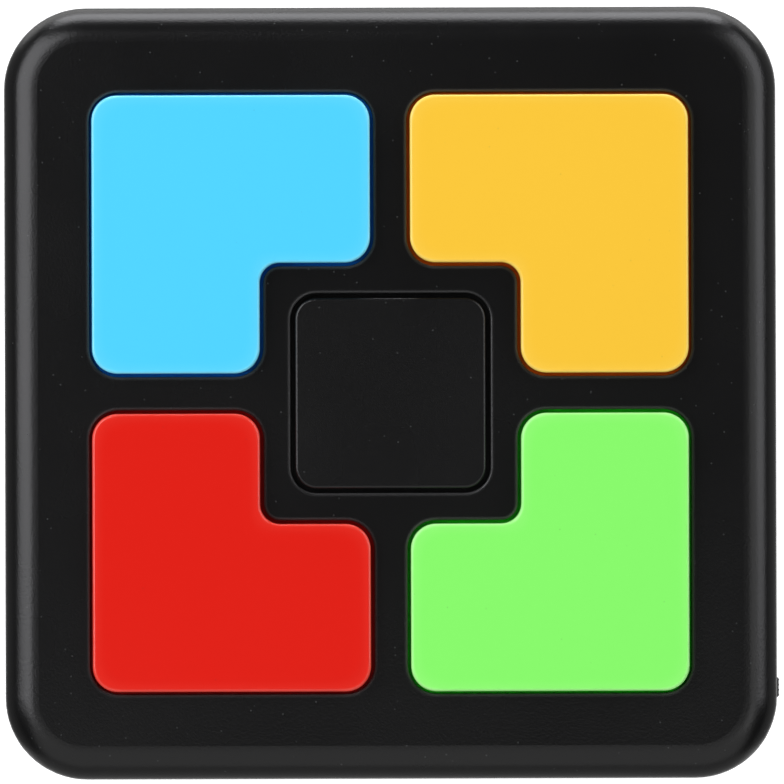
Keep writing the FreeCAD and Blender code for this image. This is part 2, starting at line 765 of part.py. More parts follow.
def make_led(label, quarter):
    """A round light under the elbow of a colour button."""
    x, y = arm_middle, arm_middle
    for _ in range(quarter):
        x, y = -y, x
    rim = cylinder(f"{label}_rim", dim.led_rim_radius, dim.led_rim_height)
    bulb = cylinder(f"{label}_bulb", dim.led_radius, dim.led_body)
    dome = doc.addObject("Part::Sphere", f"{label}_dome")
    bind(dome, "Radius", dim.led_radius)
    stand_at(rim, x, y, board_top)
    stand_at(bulb, x, y, board_top)
    stand_at(dome, x, y, board_top + dim.led_body)
    return keep(fused(label, [rim, bulb, dome]), label)


# ---------------------------------------------------------------------------
# Circuit board and the parts soldered under it
# ---------------------------------------------------------------------------

def make_circuit_board():
    body = new_body("circuit_board")
    sheet = sketch_on(body, "sheet", dim.board_height)
    outline(sheet, square(hollow_half - dim.board_gap, hollow_radius - dim.board_gap))
    pad(body, sheet, dim.board_thickness)
    notches = sketch_on(body, "boss_notches", dim.board_height)
    circles(notches, case_screw_places, dim.case_boss_radius + dim.boss_gap)
    pocket(body, notches, dim.board_thickness)
    holes = sketch_on(body, "screw_holes", dim.board_height)
    circles(holes, board_screw_places, dim.board_screw_radius + dim.shank_gap)
    pocket(body, holes, dim.board_thickness)
    return keep(body, "circuit_board")


def make_controller_chip():
    """A black cap of resin over the chip, bulging down from the board."""
    body = new_body("controller_chip")
    cap = sketch_on(body, "cap", plane="XZ_Plane")
    polygon(cap, [(ZERO, ZERO), (ZERO, -dim.chip_height), (dim.chip_flat, -dim.chip_height),
                  (dim.chip_radius, -dim.chip_height / 2), (dim.chip_radius, ZERO)])
    revolve(body, cap)
    stand_at(body, dim.chip_x, dim.chip_y, dim.board_height)
    return keep(body, "controller_chip")


def make_capacitor():
    can = cylinder("capacitor", dim.capacitor_radius, dim.capacitor_height)
    stand_at(can, dim.capacitor_x, dim.capacitor_y, dim.board_height - dim.capacitor_height)
    return keep(can, "capacitor")


def make_resistors():
    master = cylinder("resistor_master", dim.resistor_radius, dim.resistor_length)
    level = dim.board_height - dim.resistor_radius - dim.part_gap
    steps = range(int(dim.resistor_count.value))
    places = [(dim.resistor_x, dim.resistor_y + dim.resistor_pitch * step, level) for step in steps]
    return copies("resistors", master, places, [TURN_TO_PLUS_X] * len(places))


# ---------------------------------------------------------------------------
# Rear case: back wall, lip, screw posts, battery bay, speaker ring and grille
# ---------------------------------------------------------------------------

def make_rear_case():
    body = new_body("rear_case")
    shell = sketch_on(body, "shell")
    outline(shell, square(half_case, dim.case_corner_radius))
    pad(body, shell, dim.parting_height)
    fillet(body, "rear_edge", dim.rear_edge_radius, edges_at(body, ZERO))
    chamfer(body, "joint_edge", dim.parting_chamfer, edges_at(body, dim.parting_height))
    hollow = sketch_on(body, "hollow", dim.rear_wall)
    outline(hollow, square(hollow_half, hollow_radius))
    pocket(body, hollow, dim.parting_height - dim.rear_wall)
    fillet(body, "inside_edge", dim.hollow_edge_radius, edges_at(body, dim.rear_wall))
    add_lip(body)
    add_screw_posts(body)
    add_battery_bay(body)
    add_speaker_ring(body)
    return keep(body, "rear_case")


def add_lip(body):
    """The lip that locates the front shell, cut back at its bosses and at the switch."""
    lip_outer = hollow_half - dim.lip_gap
    lip_radius = hollow_radius - dim.lip_gap
    lip_inner = lip_outer - dim.lip_wall
    lip_inner_radius = lip_radius - dim.lip_wall
    root = sketch_on(body, "lip_root", dim.parting_height - dim.lip_root)
    outline(root, square(hollow_half + dim.lip_gap, hollow_radius + dim.lip_gap))
    outline(root, square(lip_inner, lip_inner_radius))
    pad(body, root, dim.lip_root)
    lip = sketch_on(body, "lip", dim.parting_height - dim.lip_root)
    outline(lip, square(lip_outer, lip_radius))
    outline(lip, square(lip_inner, lip_inner_radius))
    pad(body, lip, dim.lip_root + dim.lip_height)
    notches = sketch_on(body, "lip_notches", dim.parting_height)
    circles(notches, case_screw_places, dim.case_boss_radius + dim.boss_gap)
    pocket(body, notches, dim.lip_height)
    half = switch_half_length() + dim.boss_gap
    left = switch_face - dim.slider_depth - dim.lip_wall
    switch_notch = sketch_on(body, "switch_notch", dim.parting_height)
    polygon(switch_notch, rectangle(left, hollow_half, switch_y - half, switch_y + half))
    pocket(body, switch_notch, dim.lip_height)


def add_screw_posts(body):
    """Four posts with a well for the head and a clearance hole for the shank."""
    root = dim.rear_wall / 2
    posts = sketch_on(body, "screw_posts", root)
    circles(posts, case_screw_places, dim.case_post_radius)
    pad(body, posts, dim.parting_height - root)
    wells = sketch_on(body, "screw_wells")
    circles(wells, case_screw_places, dim.well_radius)
    pocket(body, wells, dim.well_depth)
    holes = sketch_on(body, "screw_holes", dim.well_depth)
    circles(holes, case_screw_places, dim.case_screw_radius + dim.shank_gap)
    pocket(body, holes, dim.parting_height - dim.well_depth)


def add_battery_bay(body):
    """A box for three cells, open at the back, with a ledge round it for the door."""
    bay_low = bay_y - bay_half_width
    bay_high = bay_y + bay_half_width
    block_half = recess_half + dim.ledge_margin
    block_half_width = recess_half_width + dim.ledge_margin
    block_corners = rectangle(-block_half, block_half, bay_y - block_half_width, bay_y + block_half_width)
    root = dim.rear_wall / 2
    ledge = sketch_on(body, "ledge", root)
    outline(ledge, rounded(block_corners, dim.door_corner_radius))
    pad(body, ledge, ledge_face + dim.ledge_thickness - root)
    wall = dim.bay_wall
    bay = sketch_on(body, "bay", root)
    polygon(bay, rectangle(-bay_half - wall, bay_half + wall, bay_low - wall, bay_high + wall))
    pad(body, bay, bay_top - root)
    bosses = sketch_on(body, "door_bosses", root)
    circles(bosses, door_screw_places, dim.door_boss_radius)
    boss_top = ledge_face + dim.ledge_thickness + dim.door_boss_height
    pad(body, bosses, boss_top - root)
    cavity = sketch_on(body, "cavity")
    polygon(cavity, rectangle(-bay_half, bay_half, bay_low, bay_high))
    pocket(body, cavity, bay_ceiling)
    recess = sketch_on(body, "door_recess")
    low = bay_y - recess_half_width
    high = bay_y + recess_half_width
    outline(recess, rounded(rectangle(-recess_half, recess_half, low, high), dim.door_corner_radius))
    pocket(body, recess, ledge_face)
    pilots = sketch_on(body, "door_pilots", ledge_face)
    circles(pilots, door_screw_places, dim.door_screw_radius + dim.pilot_gap)
    pocket(body, pilots, dim.door_pilot_depth)
    add_dividers(body)
    add_tab_slots(body)


def add_dividers(body):
    """Two ribs that hang from the bay's roof and keep the cells apart."""
    half_wall = dim.divider_wall / 2
    dividers = sketch_on(body, "dividers", bay_ceiling - dim.divider_drop)
    for y in (bay_y - cell_pitch / 2, bay_y + cell_pitch / 2):
        polygon(dividers, rectangle(-dim.divider_half, dim.divider_half, y - half_wall, y + half_wall))
    pad(body, dividers, dim.divider_drop + dim.bay_roof / 2)


def add_tab_slots(body):
    """Slots in the bay's roof for the solder tabs of the two end contacts."""
    half = dim.tab_width / 2 + dim.tab_gap
    depth = dim.plate_thickness + dim.tab_gap
    slots = sketch_on(body, "tab_slots", bay_ceiling)
    low = bay_y - cell_pitch
    high = bay_y + cell_pitch
    polygon(slots, rectangle(bay_half - depth, bay_half, low - half, low + half))
    polygon(slots, rectangle(-bay_half, -bay_half + depth, high - half, high + half))
    pocket(body, slots, dim.bay_roof)


def add_speaker_ring(body):
    """A low ring round the speaker, and the round grille in the back wall."""
    inner = dim.speaker_radius + dim.ring_gap
    root = dim.rear_wall / 2
    ring = sketch_on(body, "speaker_ring", root)
    circle(ring, ZERO, dim.speaker_y, inner + dim.ring_wall)
    circle(ring, ZERO, dim.speaker_y, inner)
    pad(body, ring, dim.rear_wall + dim.ring_height - root)
    middle = sketch_on(body, "sound_middle")
    circle(middle, ZERO, dim.speaker_y, dim.sound_hole_radius)
    pocket(body, middle, dim.rear_wall)
    for step in range(1, int(dim.sound_rings.value) + 1):
        add_sound_ring(body, step)


def add_sound_ring(body, step):
    """One ring of sound holes round the middle one."""
    hole = sketch_on(body, f"sound_ring_{step}")
    bind(hole, "AttachmentOffset.Base.y", dim.speaker_y)
    circle(hole, dim.sound_ring_pitch * step, ZERO, dim.sound_hole_radius)
    cut = pocket(body, hole, dim.rear_wall)
    before = volume_of(body)
    pattern = body.newObject("PartDesign::PolarPattern", f"{body.Name}_sound_pattern_{step}")
    pattern.Originals = [cut]
    pattern.Axis = (hole, ["N_Axis"])
    pattern.Angle = 360.0
    pattern.Occurrences = HOLES_PER_RING * step
    body.Tip = pattern
    doc.recompute()
    if not pattern.Shape.Volume < before:
        raise RuntimeError(f"{pattern.Name} cut nothing")


# ---------------------------------------------------------------------------
# Battery door, cells, contact plates and leaves
# ---------------------------------------------------------------------------

def make_battery_door():
    body = new_body("battery_door")
    plate = sketch_on(body, "plate", dim.door_recess)
    half = recess_half - dim.door_gap
    half_width = recess_half_width - dim.door_gap
    corners = rectangle(-half, half, bay_y - half_width, bay_y + half_width)
    outline(plate, rounded(corners, dim.door_corner_radius - dim.door_gap))
    pad(body, plate, dim.door_thickness)
    ribs = sketch_on(body, "locating_ribs", ledge_face)
    far = bay_half_width - dim.door_rib_gap
    near = far - dim.door_rib_wall
    end = dim.door_rib_half
    polygon(ribs, rectangle(-end, end, bay_y - far, bay_y - near))
    polygon(ribs, rectangle(-end, end, bay_y + near, bay_y + far))
    pad(body, ribs, dim.door_rib_height)
    sinks = sketch_on(body, "counterbores", dim.door_recess)
    circles(sinks, door_screw_places, dim.door_head_radius + dim.door_head_gap)
    pocket(body, sinks, dim.door_head_sink)
    holes = sketch_on(body, "screw_holes", dim.door_recess)
    circles(holes, door_screw_places, dim.door_screw_radius + dim.shank_gap)
    pocket(body, holes, dim.door_thickness)
    return keep(body, "battery_door")


def make_cell(label, lane, nub_to_plus_x):
    """One AAA cell; lane counts from the bay's middle."""
    body = new_body(label)
    side = sketch_on(body, "side", plane="XZ_Plane")
    radius, bevel, length = dim.cell_radius, dim.cell_edge, dim.cell_length
    top = length + dim.nub_height
    polygon(side, [(ZERO, ZERO), (radius - bevel, ZERO), (radius, bevel), (radius, length - bevel),
                   (radius - bevel, length), (dim.nub_radius, length), (dim.nub_radius, top), (ZERO, top)])
    revolve(body, side)
    back = plate_face - top
    x, turn = (back, TURN_TO_PLUS_X) if nub_to_plus_x else (-back, TURN_TO_MINUS_X)
    stand_at(body, x, bay_y + cell_pitch * lane, cell_level, turn)
    return keep(body, label)


def make_end_contact(label, lane, at_plus_x):
    """A contact plate with a solder tab that goes up through the bay's roof."""
    y = bay_y + cell_pitch * lane
    x = plate_face if at_plus_x else -bay_half
    plate = box(f"{label}_plate", dim.plate_thickness, dim.plate_width, dim.plate_height)
    tab = box(f"{label}_tab", dim.plate_thickness, dim.tab_width, tab_top - plate_foot)
    stand_at(plate, x, y - dim.plate_width / 2, plate_foot)
    stand_at(tab, x, y - dim.tab_width / 2, plate_foot)
    return keep(fused(label, [plate, tab]), label)


def make_bridge(label, low_lane, at_plus_x):
    """A contact plate that joins two neighbouring cells."""
    x = plate_face if at_plus_x else -bay_half
    y = bay_y + cell_pitch * low_lane - dim.plate_width / 2
    width = cell_pitch + dim.plate_width
    plate = box(label, dim.plate_thickness, width, dim.plate_height)
    stand_at(plate, x, y, plate_foot)
    return keep(plate, label)


def make_contact_leaves():
    """Three bent spring leaves, foot on a plate and crest at a cell's flat end."""
    body = new_body("contact_leaf_master")
    side = sketch_on(body, "side", plane="XZ_Plane")
    sheet, half, crest = dim.leaf_sheet, dim.leaf_half, dim.leaf_crest
    foot = dim.leaf_foot - half
    reach = dim.leaf_space - dim.leaf_gap
    end = reach - dim.leaf_fall
    polygon(side, [(ZERO, -half), (sheet, -half), (sheet, foot), (reach, -crest), (reach, crest),
                   (end, half), (end - sheet, half), (reach - sheet, crest), (reach - sheet, -crest),
                   (ZERO, foot)])
    strip = set_up(body, "PartDesign::Pad", "strip", Profile=side, Length=dim.leaf_width)
    strip.SideType = "Symmetric"
    places = [(-plate_face, bay_y - cell_pitch, cell_level), (plate_face, bay_y, cell_level),
              (-plate_face, bay_y + cell_pitch, cell_level)]
    turns = [FreeCAD.Rotation(UPRIGHT, angle) for angle in (0, 180, 0)]
    return copies("contact_leaves", body, places, turns)


# ---------------------------------------------------------------------------
# Screws: one master of each size, copied to where it is used
# ---------------------------------------------------------------------------

def make_screws(label, head_radius, head_height, radius, length, places):
    """Cross-head screws that point up, with the head's seat at the given places."""
    body = new_body(f"{label}_master")
    side = sketch_on(body, "side", plane="XZ_Plane")
    polygon(side, [(ZERO, -head_height), (head_radius, -head_height), (head_radius, ZERO), (radius, ZERO),
                   (radius, length - dim.screw_point), (radius / 2, length), (ZERO, length)])
    revolve(body, side)
    reach = head_radius * dim.cross_reach
    half = dim.cross_half
    cross = sketch_on(body, "cross", -head_height)
    polygon(cross, [(reach, -half), (reach, half), (half, half), (half, reach), (-half, reach),
                    (-half, half), (-reach, half), (-reach, -half), (-half, -half), (-half, -reach),
                    (half, -reach), (half, -half)])
    pocket(body, cross, dim.cross_depth)
    return copies(label, body, places)


def make_all_screws():
    case_places = [(x, y, dim.well_depth) for x, y in case_screw_places]
    board_places = [(x, y, dim.board_height) for x, y in board_screw_places]
    door_seat = dim.door_recess + dim.door_head_sink
    door_places = [(x, y, door_seat) for x, y in door_screw_places]
    make_screws("case_screws", dim.case_head_radius, dim.case_head_height,
                dim.case_screw_radius, dim.case_screw_length, case_places)
    make_screws("board_screws", dim.board_head_radius, dim.board_head_height,
                dim.board_screw_radius, dim.board_screw_length, board_places)
    make_screws("door_screws", dim.door_head_radius, dim.door_head_height,
                dim.door_screw_radius, dim.door_screw_length, door_places)


# ---------------------------------------------------------------------------
# Power switch: a housing under the board and a knob that slides in it
# ---------------------------------------------------------------------------

def switch_half_length():
    """Half the length of the switch housing."""
    return (dim.slider_length + dim.switch_travel) / 2 + dim.slider_gap + dim.switch_wall


def make_switch_housing():
    body = new_body("switch_housing")
    wall = dim.switch_wall
    inside = switch_face - wall
    back = inside - dim.slider_depth - dim.slider_gap * 2
    half = switch_half_length()
    room_half = dim.slider_height / 2 + dim.slider_gap
    foot = switch_level - room_half - wall
    block = sketch_on(body, "block", foot)
    polygon(block, rectangle(back - wall, switch_face, switch_y - half, switch_y + half))
    pad(body, block, dim.board_height - foot)
    room = sketch_on(body, "room", switch_level - room_half)
    polygon(room, rectangle(back, inside, switch_y - half + wall, switch_y + half - wall))
    pocket(body, room, room_half * 2)
    mouth_half = (dim.knob_length + dim.switch_travel) / 2 + dim.slider_gap
    mouth_low = switch_level - dim.knob_height / 2 - dim.slider_gap
    mouth = sketch_on(body, "mouth", mouth_low)
    beyond = switch_face + wall
    polygon(mouth, rectangle(inside - dim.slider_gap, beyond, switch_y - mouth_half, switch_y + mouth_half))
    pocket(body, mouth, dim.knob_height + dim.slider_gap * 2)
    return keep(body, "switch_housing")


def make_power_switch_knob():
    """The slider and the knob in one moulding, at the off end of the travel."""
    body = new_body("power_switch_knob")
    y = switch_y - dim.switch_travel / 2
    outer = switch_face - dim.switch_wall - dim.slider_gap
    inner = outer - dim.slider_depth
    half = dim.slider_length / 2
    slider = sketch_on(body, "slider", switch_level - dim.slider_height / 2)
    polygon(slider, rectangle(inner, outer, y - half, y + half))
    pad(body, slider, dim.slider_height)
    tip = half_case + dim.knob_reach
    knob_half = dim.knob_length / 2
    knob = sketch_on(body, "knob", switch_level - dim.knob_height / 2)
    polygon(knob, rectangle(inner + dim.slider_depth / 2, tip, y - knob_half, y + knob_half))
    pad(body, knob, dim.knob_height)
    doc.recompute()
    end_edges = [f"Edge{i}" for i, edge in enumerate(body.Tip.Shape.Edges, start=1)
                 if abs(edge.BoundBox.XMin - tip.value) < LEVEL_TOLERANCE]
    fillet(body, "end_edges", dim.knob_edge_radius, end_edges)
    return keep(body, "power_switch_knob")


# ---------------------------------------------------------------------------
# Speaker: pressed frame, paper cone and magnet
# ---------------------------------------------------------------------------

def make_speaker_frame():
    body = new_body("speaker_frame")
    side = sketch_on(body, "side", plane="XZ_Plane")
    rim_inner = dim.speaker_radius - dim.speaker_rim
    sheet = dim.speaker_sheet
    waist_inner = dim.speaker_waist - sheet
    polygon(side, [(rim_inner, ZERO), (dim.speaker_radius, ZERO),
                   (dim.speaker_radius, dim.speaker_rim_height),
                   (rim_inner + sheet, dim.speaker_rim_height), (dim.speaker_waist, dim.speaker_height),
                   (dim.speaker_eye, dim.speaker_height), (dim.speaker_eye, dim.speaker_height - sheet),
                   (waist_inner, dim.speaker_height - sheet), (rim_inner, sheet)])
    revolve(body, side)
    strip = sketch_on(body, "terminal_strip", dim.speaker_rim_height / 2)
    middle = strip_y() - dim.speaker_y
    half_width = dim.strip_width / 2
    low = middle - half_width
    high = middle + half_width
    polygon(strip, rectangle(-dim.strip_half, dim.strip_half, low, high))
    pad(body, strip, dim.speaker_rim_height / 2 + dim.strip_height)
    stand_at(body, ZERO, dim.speaker_y, dim.rear_wall)
    return keep(body, "speaker_frame")


def strip_y():
    """Middle of the terminal strip, on the rim nearest the battery bay."""
    return dim.speaker_y - dim.speaker_radius + dim.strip_inset


def make_speaker_cone():
    body = new_body("speaker_cone")
    side = sketch_on(body, "side", plane="XZ_Plane")
    edge = dim.speaker_radius - dim.speaker_rim - dim.cone_gap
    foot, sheet, neck = dim.cone_foot, dim.cone_sheet, dim.cone_neck
    high = foot + dim.cone_depth
    cap = high - dim.cap_drop
    polygon(side, [(ZERO, cap), (neck, high), (edge, foot), (edge, foot + sheet), (neck, high + sheet),
                   (ZERO, cap + sheet)])
    revolve(body, side)
    stand_at(body, ZERO, dim.speaker_y, dim.rear_wall)
    return keep(body, "speaker_cone")


def make_speaker_magnet():
    magnet = cylinder("speaker_magnet", dim.magnet_radius, dim.magnet_height)
    stand_at(magnet, ZERO, dim.speaker_y, dim.rear_wall + dim.speaker_height)
    return keep(magnet, "speaker_magnet")


# ---------------------------------------------------------------------------
# Leads: insulated wires of straight runs joined by tangent arcs
# ---------------------------------------------------------------------------

def lead_path(points):
    """A wire through the points, with each bend as wide as its two runs allow."""
    edges = []
    start = points[0]
    for before, corner, after in zip(points, points[1:], points[2:]):
        arriving = (corner - before).normalize()
        leaving = (after - corner).normalize()
        half_turn = arriving.getAngle(leaving) / 2
        reach = BEND_SHARE * min((corner - before).Length, (after - corner).Length)
        print(f"  bend radius {reach / math.tan(half_turn):.2f}")
        first = corner - arriving * reach
        last = corner + leaving * reach
        middle = bend_middle(corner, arriving, leaving, reach, half_turn)
        edges.append(Part.LineSegment(start, first).toShape())
        edges.append(Part.Arc(first, middle, last).toShape())
        start = last
    edges.append(Part.LineSegment(start, points[-1]).toShape())
    return Part.Wire(edges)


def bend_middle(corner, arriving, leaving, reach, half_turn):
    """The middle of the arc that rounds a corner."""
    inward = (leaving - arriving).normalize()
    radius = reach / math.tan(half_turn)
    return corner + inward * (radius / math.cos(half_turn) - radius)


def make_lead(label, points):
    print(label)
    path = lead_path(points)
    start = path.Edges[0]
    section = Part.Circle(points[0], start.tangentAt(start.FirstParameter), dim.lead_radius.value)
    solid = path.makePipeShell([Part.Wire(section.toShape())], True, True)
    expected = math.pi * dim.lead_radius.value ** 2 * path.Length
    if abs(solid.Volume - expected) > VOLUME_TOLERANCE * expected:
        raise RuntimeError(f"{label} has the wrong volume")
    lead = doc.addObject("Part::Feature", label)
    lead.Shape = solid
    return keep(lead, label)


def make_leads():
    board = dim.board_height.value
    strip_top = (dim.rear_wall + dim.speaker_rim_height + dim.strip_height).value
    third = (board - strip_top) / 3
    for label, side in (("speaker_lead_red", 1), ("speaker_lead_black", -1)):
        near = side * dim.lead_half_gap.value
        far = near + side * dim.lead_spread.value
        y = strip_y().value
        make_lead(label, [FreeCAD.Vector(near, y, strip_top), FreeCAD.Vector(near, y, strip_top + third),
                          FreeCAD.Vector(far, y, board - third), FreeCAD.Vector(far, y, board)])
    level = (tab_top - dim.lead_radius).value
    for label, side in (("battery_lead_red", 1), ("battery_lead_black", -1)):
        y = (bay_y - cell_pitch * side).value
        face = side * plate_face.value
        rise = face - side * dim.battery_lead_run.value
        make_lead(label, [FreeCAD.Vector(face, y, level), FreeCAD.Vector(rise, y, level),
                          FreeCAD.Vector(rise, y, board)])


# ---------------------------------------------------------------------------
# The whole game
# ---------------------------------------------------------------------------

COLOUR_QUARTERS = [("yellow", 0), ("blue", 1), ("red", 2), ("green", 3)]


def make_all():
    make_front_case()
    make_rear_case()
    for colour, quarter in COLOUR_QUARTERS:
        make_colour_button(f"button_{colour}", quarter)
        make_colour_pad(f"pad_{colour}", quarter)
        make_led(f"led_{colour}", quarter)
    make_centre_button()
    make_centre_pad()
    make_circuit_board()
    make_controller_chip()
    make_capacitor()
    make_resistors()
    make_switch_housing()
    make_power_switch_knob()
    make_battery_door()
    make_cell("cell_1", -1, True)
    make_cell("cell_2", 0, False)
    make_cell("cell_3", 1, True)
    make_end_contact("positive_terminal", -1, True)
    make_end_contact("negative_terminal", 1, False)
    make_bridge("bridge_left", -1, False)
    make_bridge("bridge_right", 0, True)
    make_contact_leaves()
    make_all_screws()
    make_speaker_frame()
    make_speaker_cone()
    make_speaker_magnet()
    make_leads()


def check_all():
    """Stop if anything in the document failed or a sub-part isn't a sound solid."""
    for thing in doc.Objects:
        if "Invalid" in thing.State or "Error" in thing.State:
            raise RuntimeError(f"{thing.Label} failed: {thing.State}")
    for piece in SUBPARTS:
        shape = piece.Shape
        if shape.isNull() or not shape.isValid() or not shape.Solids:
            raise RuntimeError(f"{piece.Label} is not a sound solid")


def write_all():
    os.makedirs("parts", exist_ok=True)
    for piece in SUBPARTS:
        piece.Shape.exportStep(f"parts/{piece.Label}.step")
        print(f"{piece.Label}: {len(piece.Shape.Solids)} solid(s), {piece.Shape.Volume:.1f} mm3")


make_all()
doc.recompute()
check_all()
write_all()
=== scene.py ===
import math

import bmesh
import bpy
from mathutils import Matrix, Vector


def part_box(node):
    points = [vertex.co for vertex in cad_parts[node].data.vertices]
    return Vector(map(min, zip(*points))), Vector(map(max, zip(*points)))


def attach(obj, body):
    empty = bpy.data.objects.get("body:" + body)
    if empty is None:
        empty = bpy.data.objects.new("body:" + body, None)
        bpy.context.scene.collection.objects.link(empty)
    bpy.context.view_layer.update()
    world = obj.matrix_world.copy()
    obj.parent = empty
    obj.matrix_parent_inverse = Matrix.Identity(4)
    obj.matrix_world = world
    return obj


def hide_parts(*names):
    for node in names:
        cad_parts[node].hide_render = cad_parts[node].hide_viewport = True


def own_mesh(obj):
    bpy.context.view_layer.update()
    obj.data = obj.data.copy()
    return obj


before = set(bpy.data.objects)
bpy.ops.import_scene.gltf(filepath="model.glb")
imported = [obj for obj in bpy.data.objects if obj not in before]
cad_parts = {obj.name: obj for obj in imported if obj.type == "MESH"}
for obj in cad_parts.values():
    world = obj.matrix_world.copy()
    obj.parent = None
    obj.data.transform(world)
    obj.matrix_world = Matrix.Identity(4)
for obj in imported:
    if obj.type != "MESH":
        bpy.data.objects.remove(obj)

bpy.context.view_layer.update()

# ---------------------------------------------------------------------------
# Case: front shell, rear shell and battery door.
# Black ABS, injection-moulded in a spark-eroded mould, so every face is satin and finely pitted.
# The rounded edges are paler: partly polished by handling, partly a painted highlight. A few specks of dust
# lie on top.
# ---------------------------------------------------------------------------

MM = 0.001
CASE_COLOUR = (0.0040, 0.0040, 0.0041, 1)
# Paler black: on the rounded edges of the case it is partly wear and partly a painted highlight; the chip's
# resin uses it for its wave crests.
PALE_BLACK = (0.0850, 0.0850, 0.0860, 1)
DUST_COLOUR = (0.060, 0.064, 0.063, 1)
CASE_ROUGHNESS = 0.27
CASE_GRAIN = 0.30 * MM
REAR_ROUGHNESS = 0.42
REAR_GRAIN = 0.35 * MM
CASE_PIT_DEPTH = 0.022 * MM
CASE_DRIFT = 0.10
CASE_IOR = 1.45
GRAIN_TURN = (0.61, 0.43, 0.87)
DRIFT_SCALE = 45.0
WEAR_REACH = 0.5 * MM
WEAR_POLISH = -0.06
FLAT_MATCH = 0.998
EDGE_MATCH = 0.90
CASE_DUST = {"Spacing": 1.6 * MM, "Speck": 0.14 * MM, "Share": 0.8}
LOOKS_UP = 0.5


def fill_socket(tree, socket, source):
    """Give a socket its plain value, or link the output that feeds it."""
    if isinstance(source, bpy.types.NodeSocket):
        tree.links.new(source, socket)
    else:
        socket.default_value = source


def add_node(tree, kind, sockets=None, **settings):
    """Add a node, with its settings and what goes into its sockets."""
    node = tree.nodes.new(kind)
    for name, setting in settings.items():
        setattr(node, name, setting)
    for name, source in (sockets or {}).items():
        fill_socket(tree, node.inputs[name], source)
    return node


def calculate(tree, operation, first, second=0.0, third=0.0):
    """The result of a Math node."""
    sockets = {0: first, 1: second, 2: third}
    return add_node(tree, "ShaderNodeMath", sockets, operation=operation).outputs[0]


def mix_colour(tree, share, first, second):
    """The result of a Mix node on two colours."""
    sockets = {"Factor": share, "A": first, "B": second}
    mix = add_node(tree, "ShaderNodeMix", data_type="RGBA")
    for socket in mix.inputs:
        if socket.enabled and socket.name in sockets:
            fill_socket(tree, socket, sockets[socket.name])
    return next(socket for socket in mix.outputs if socket.enabled)


def new_group(name, inputs, outputs, kind="ShaderNodeTree"):
    """A node group with named sockets, its input node and its output node."""
    group = bpy.data.node_groups.new(name, kind)
    for label, socket_type, value in inputs:
        socket = group.interface.new_socket(label, in_out="INPUT", socket_type=socket_type)
        if value is not None:
            socket.default_value = value
    for label, socket_type in outputs:
        group.interface.new_socket(label, in_out="OUTPUT", socket_type=socket_type)
    return group, group.nodes.new("NodeGroupInput"), group.nodes.new("NodeGroupOutput")


def use_group(tree, group, **inputs):
    """Place a node group in a material."""
    sockets = {name.replace("_", " "): source for name, source in inputs.items()}
    return add_node(tree, "ShaderNodeGroup", sockets, node_tree=group)


def new_material(name, **settings):
    """A material with one Principled BSDF, whose plain values are set on its own sockets."""
    material = bpy.data.materials.new(name)
    material.use_nodes = True
    tree = material.node_tree
    shader = tree.nodes["Principled BSDF"]
    for socket, value in settings.items():
        shader.inputs[socket.replace("_", " ")].default_value = value
    place = tree.nodes.new("ShaderNodeTexCoord").outputs["Object"]
    return material, tree, shader, place


def link_shader(tree, shader, **sockets):
    """Link outputs to the shader's sockets."""
    for name, output in sockets.items():
        tree.links.new(output, shader.inputs[name.replace("_", " ")])


def bump(tree, height, depth):
    """The normal that a height map gives when its full step is so deep."""
    return add_node(tree, "ShaderNodeBump", {"Height": height, "Distance": depth}).outputs["Normal"]


def map_share(tree, value, start, end):
    """Nothing where a value is at the start, and one where it is at the end."""
    sockets = {"Value": value, "From Min": start, "From Max": end}
    return add_node(tree, "ShaderNodeMapRange", sockets).outputs["Result"]


def split(tree, vector):
    """The X, Y and Z of a vector."""
    return add_node(tree, "ShaderNodeSeparateXYZ", {"Vector": vector}).outputs


def noise(tree, place, scale, detail=2.0, roughness=0.5, distortion=0.0):
    """A soft random value that changes with the place."""
    sockets = {"Vector": place, "Scale": scale, "Detail": detail, "Roughness": roughness,
               "Distortion": distortion}
    return add_node(tree, "ShaderNodeTexNoise", sockets).outputs[0]


def build_moulded_skin():
    """Fine pits of a moulded face, and its slow drift of gloss.

    The pits' pattern is turned, so that no flat face lies along it.
    """
    group, given, result = new_group(
        "moulded_skin",
        [("Vector", "NodeSocketVector", None), ("Grain", "NodeSocketFloat", 0.2 * MM),
         ("Roughness", "NodeSocketFloat", 0.4), ("Drift", "NodeSocketFloat", 0.05)],
        [("Height", "NodeSocketFloat"), ("Roughness", "NodeSocketFloat")],
    )
    scale = calculate(group, "DIVIDE", 1.0, given.outputs["Grain"])
    turned = add_node(group, "ShaderNodeMapping", {
        "Vector": given.outputs["Vector"], "Rotation": GRAIN_TURN}).outputs["Vector"]
    fine = noise(group, turned, scale, detail=2.0, roughness=0.6)
    slow = noise(group, given.outputs["Vector"], DRIFT_SCALE, detail=3.0)
    drift = calculate(group, "MULTIPLY", calculate(group, "SUBTRACT", slow, 0.5), given.outputs["Drift"])
    group.links.new(fine, result.inputs["Height"])
    group.links.new(calculate(group, "ADD", given.outputs["Roughness"], drift),
                    result.inputs["Roughness"])
    return group


def build_rubbed_edges():
    """One at edges and corners that hands have rubbed, nothing on flat faces."""
    group, given, result = new_group(
        "rubbed_edges", [("Reach", "NodeSocketFloat", MM)], [("Wear", "NodeSocketFloat")])
    around = add_node(group, "ShaderNodeBevel", {"Radius": given.outputs["Reach"]}, samples=4)
    own = group.nodes.new("ShaderNodeNewGeometry").outputs["Normal"]
    match = add_node(group, "ShaderNodeVectorMath", {0: around.outputs["Normal"], 1: own},
                     operation="DOT_PRODUCT").outputs["Value"]
    group.links.new(map_share(group, match, FLAT_MATCH, EDGE_MATCH), result.inputs["Wear"])
    return group


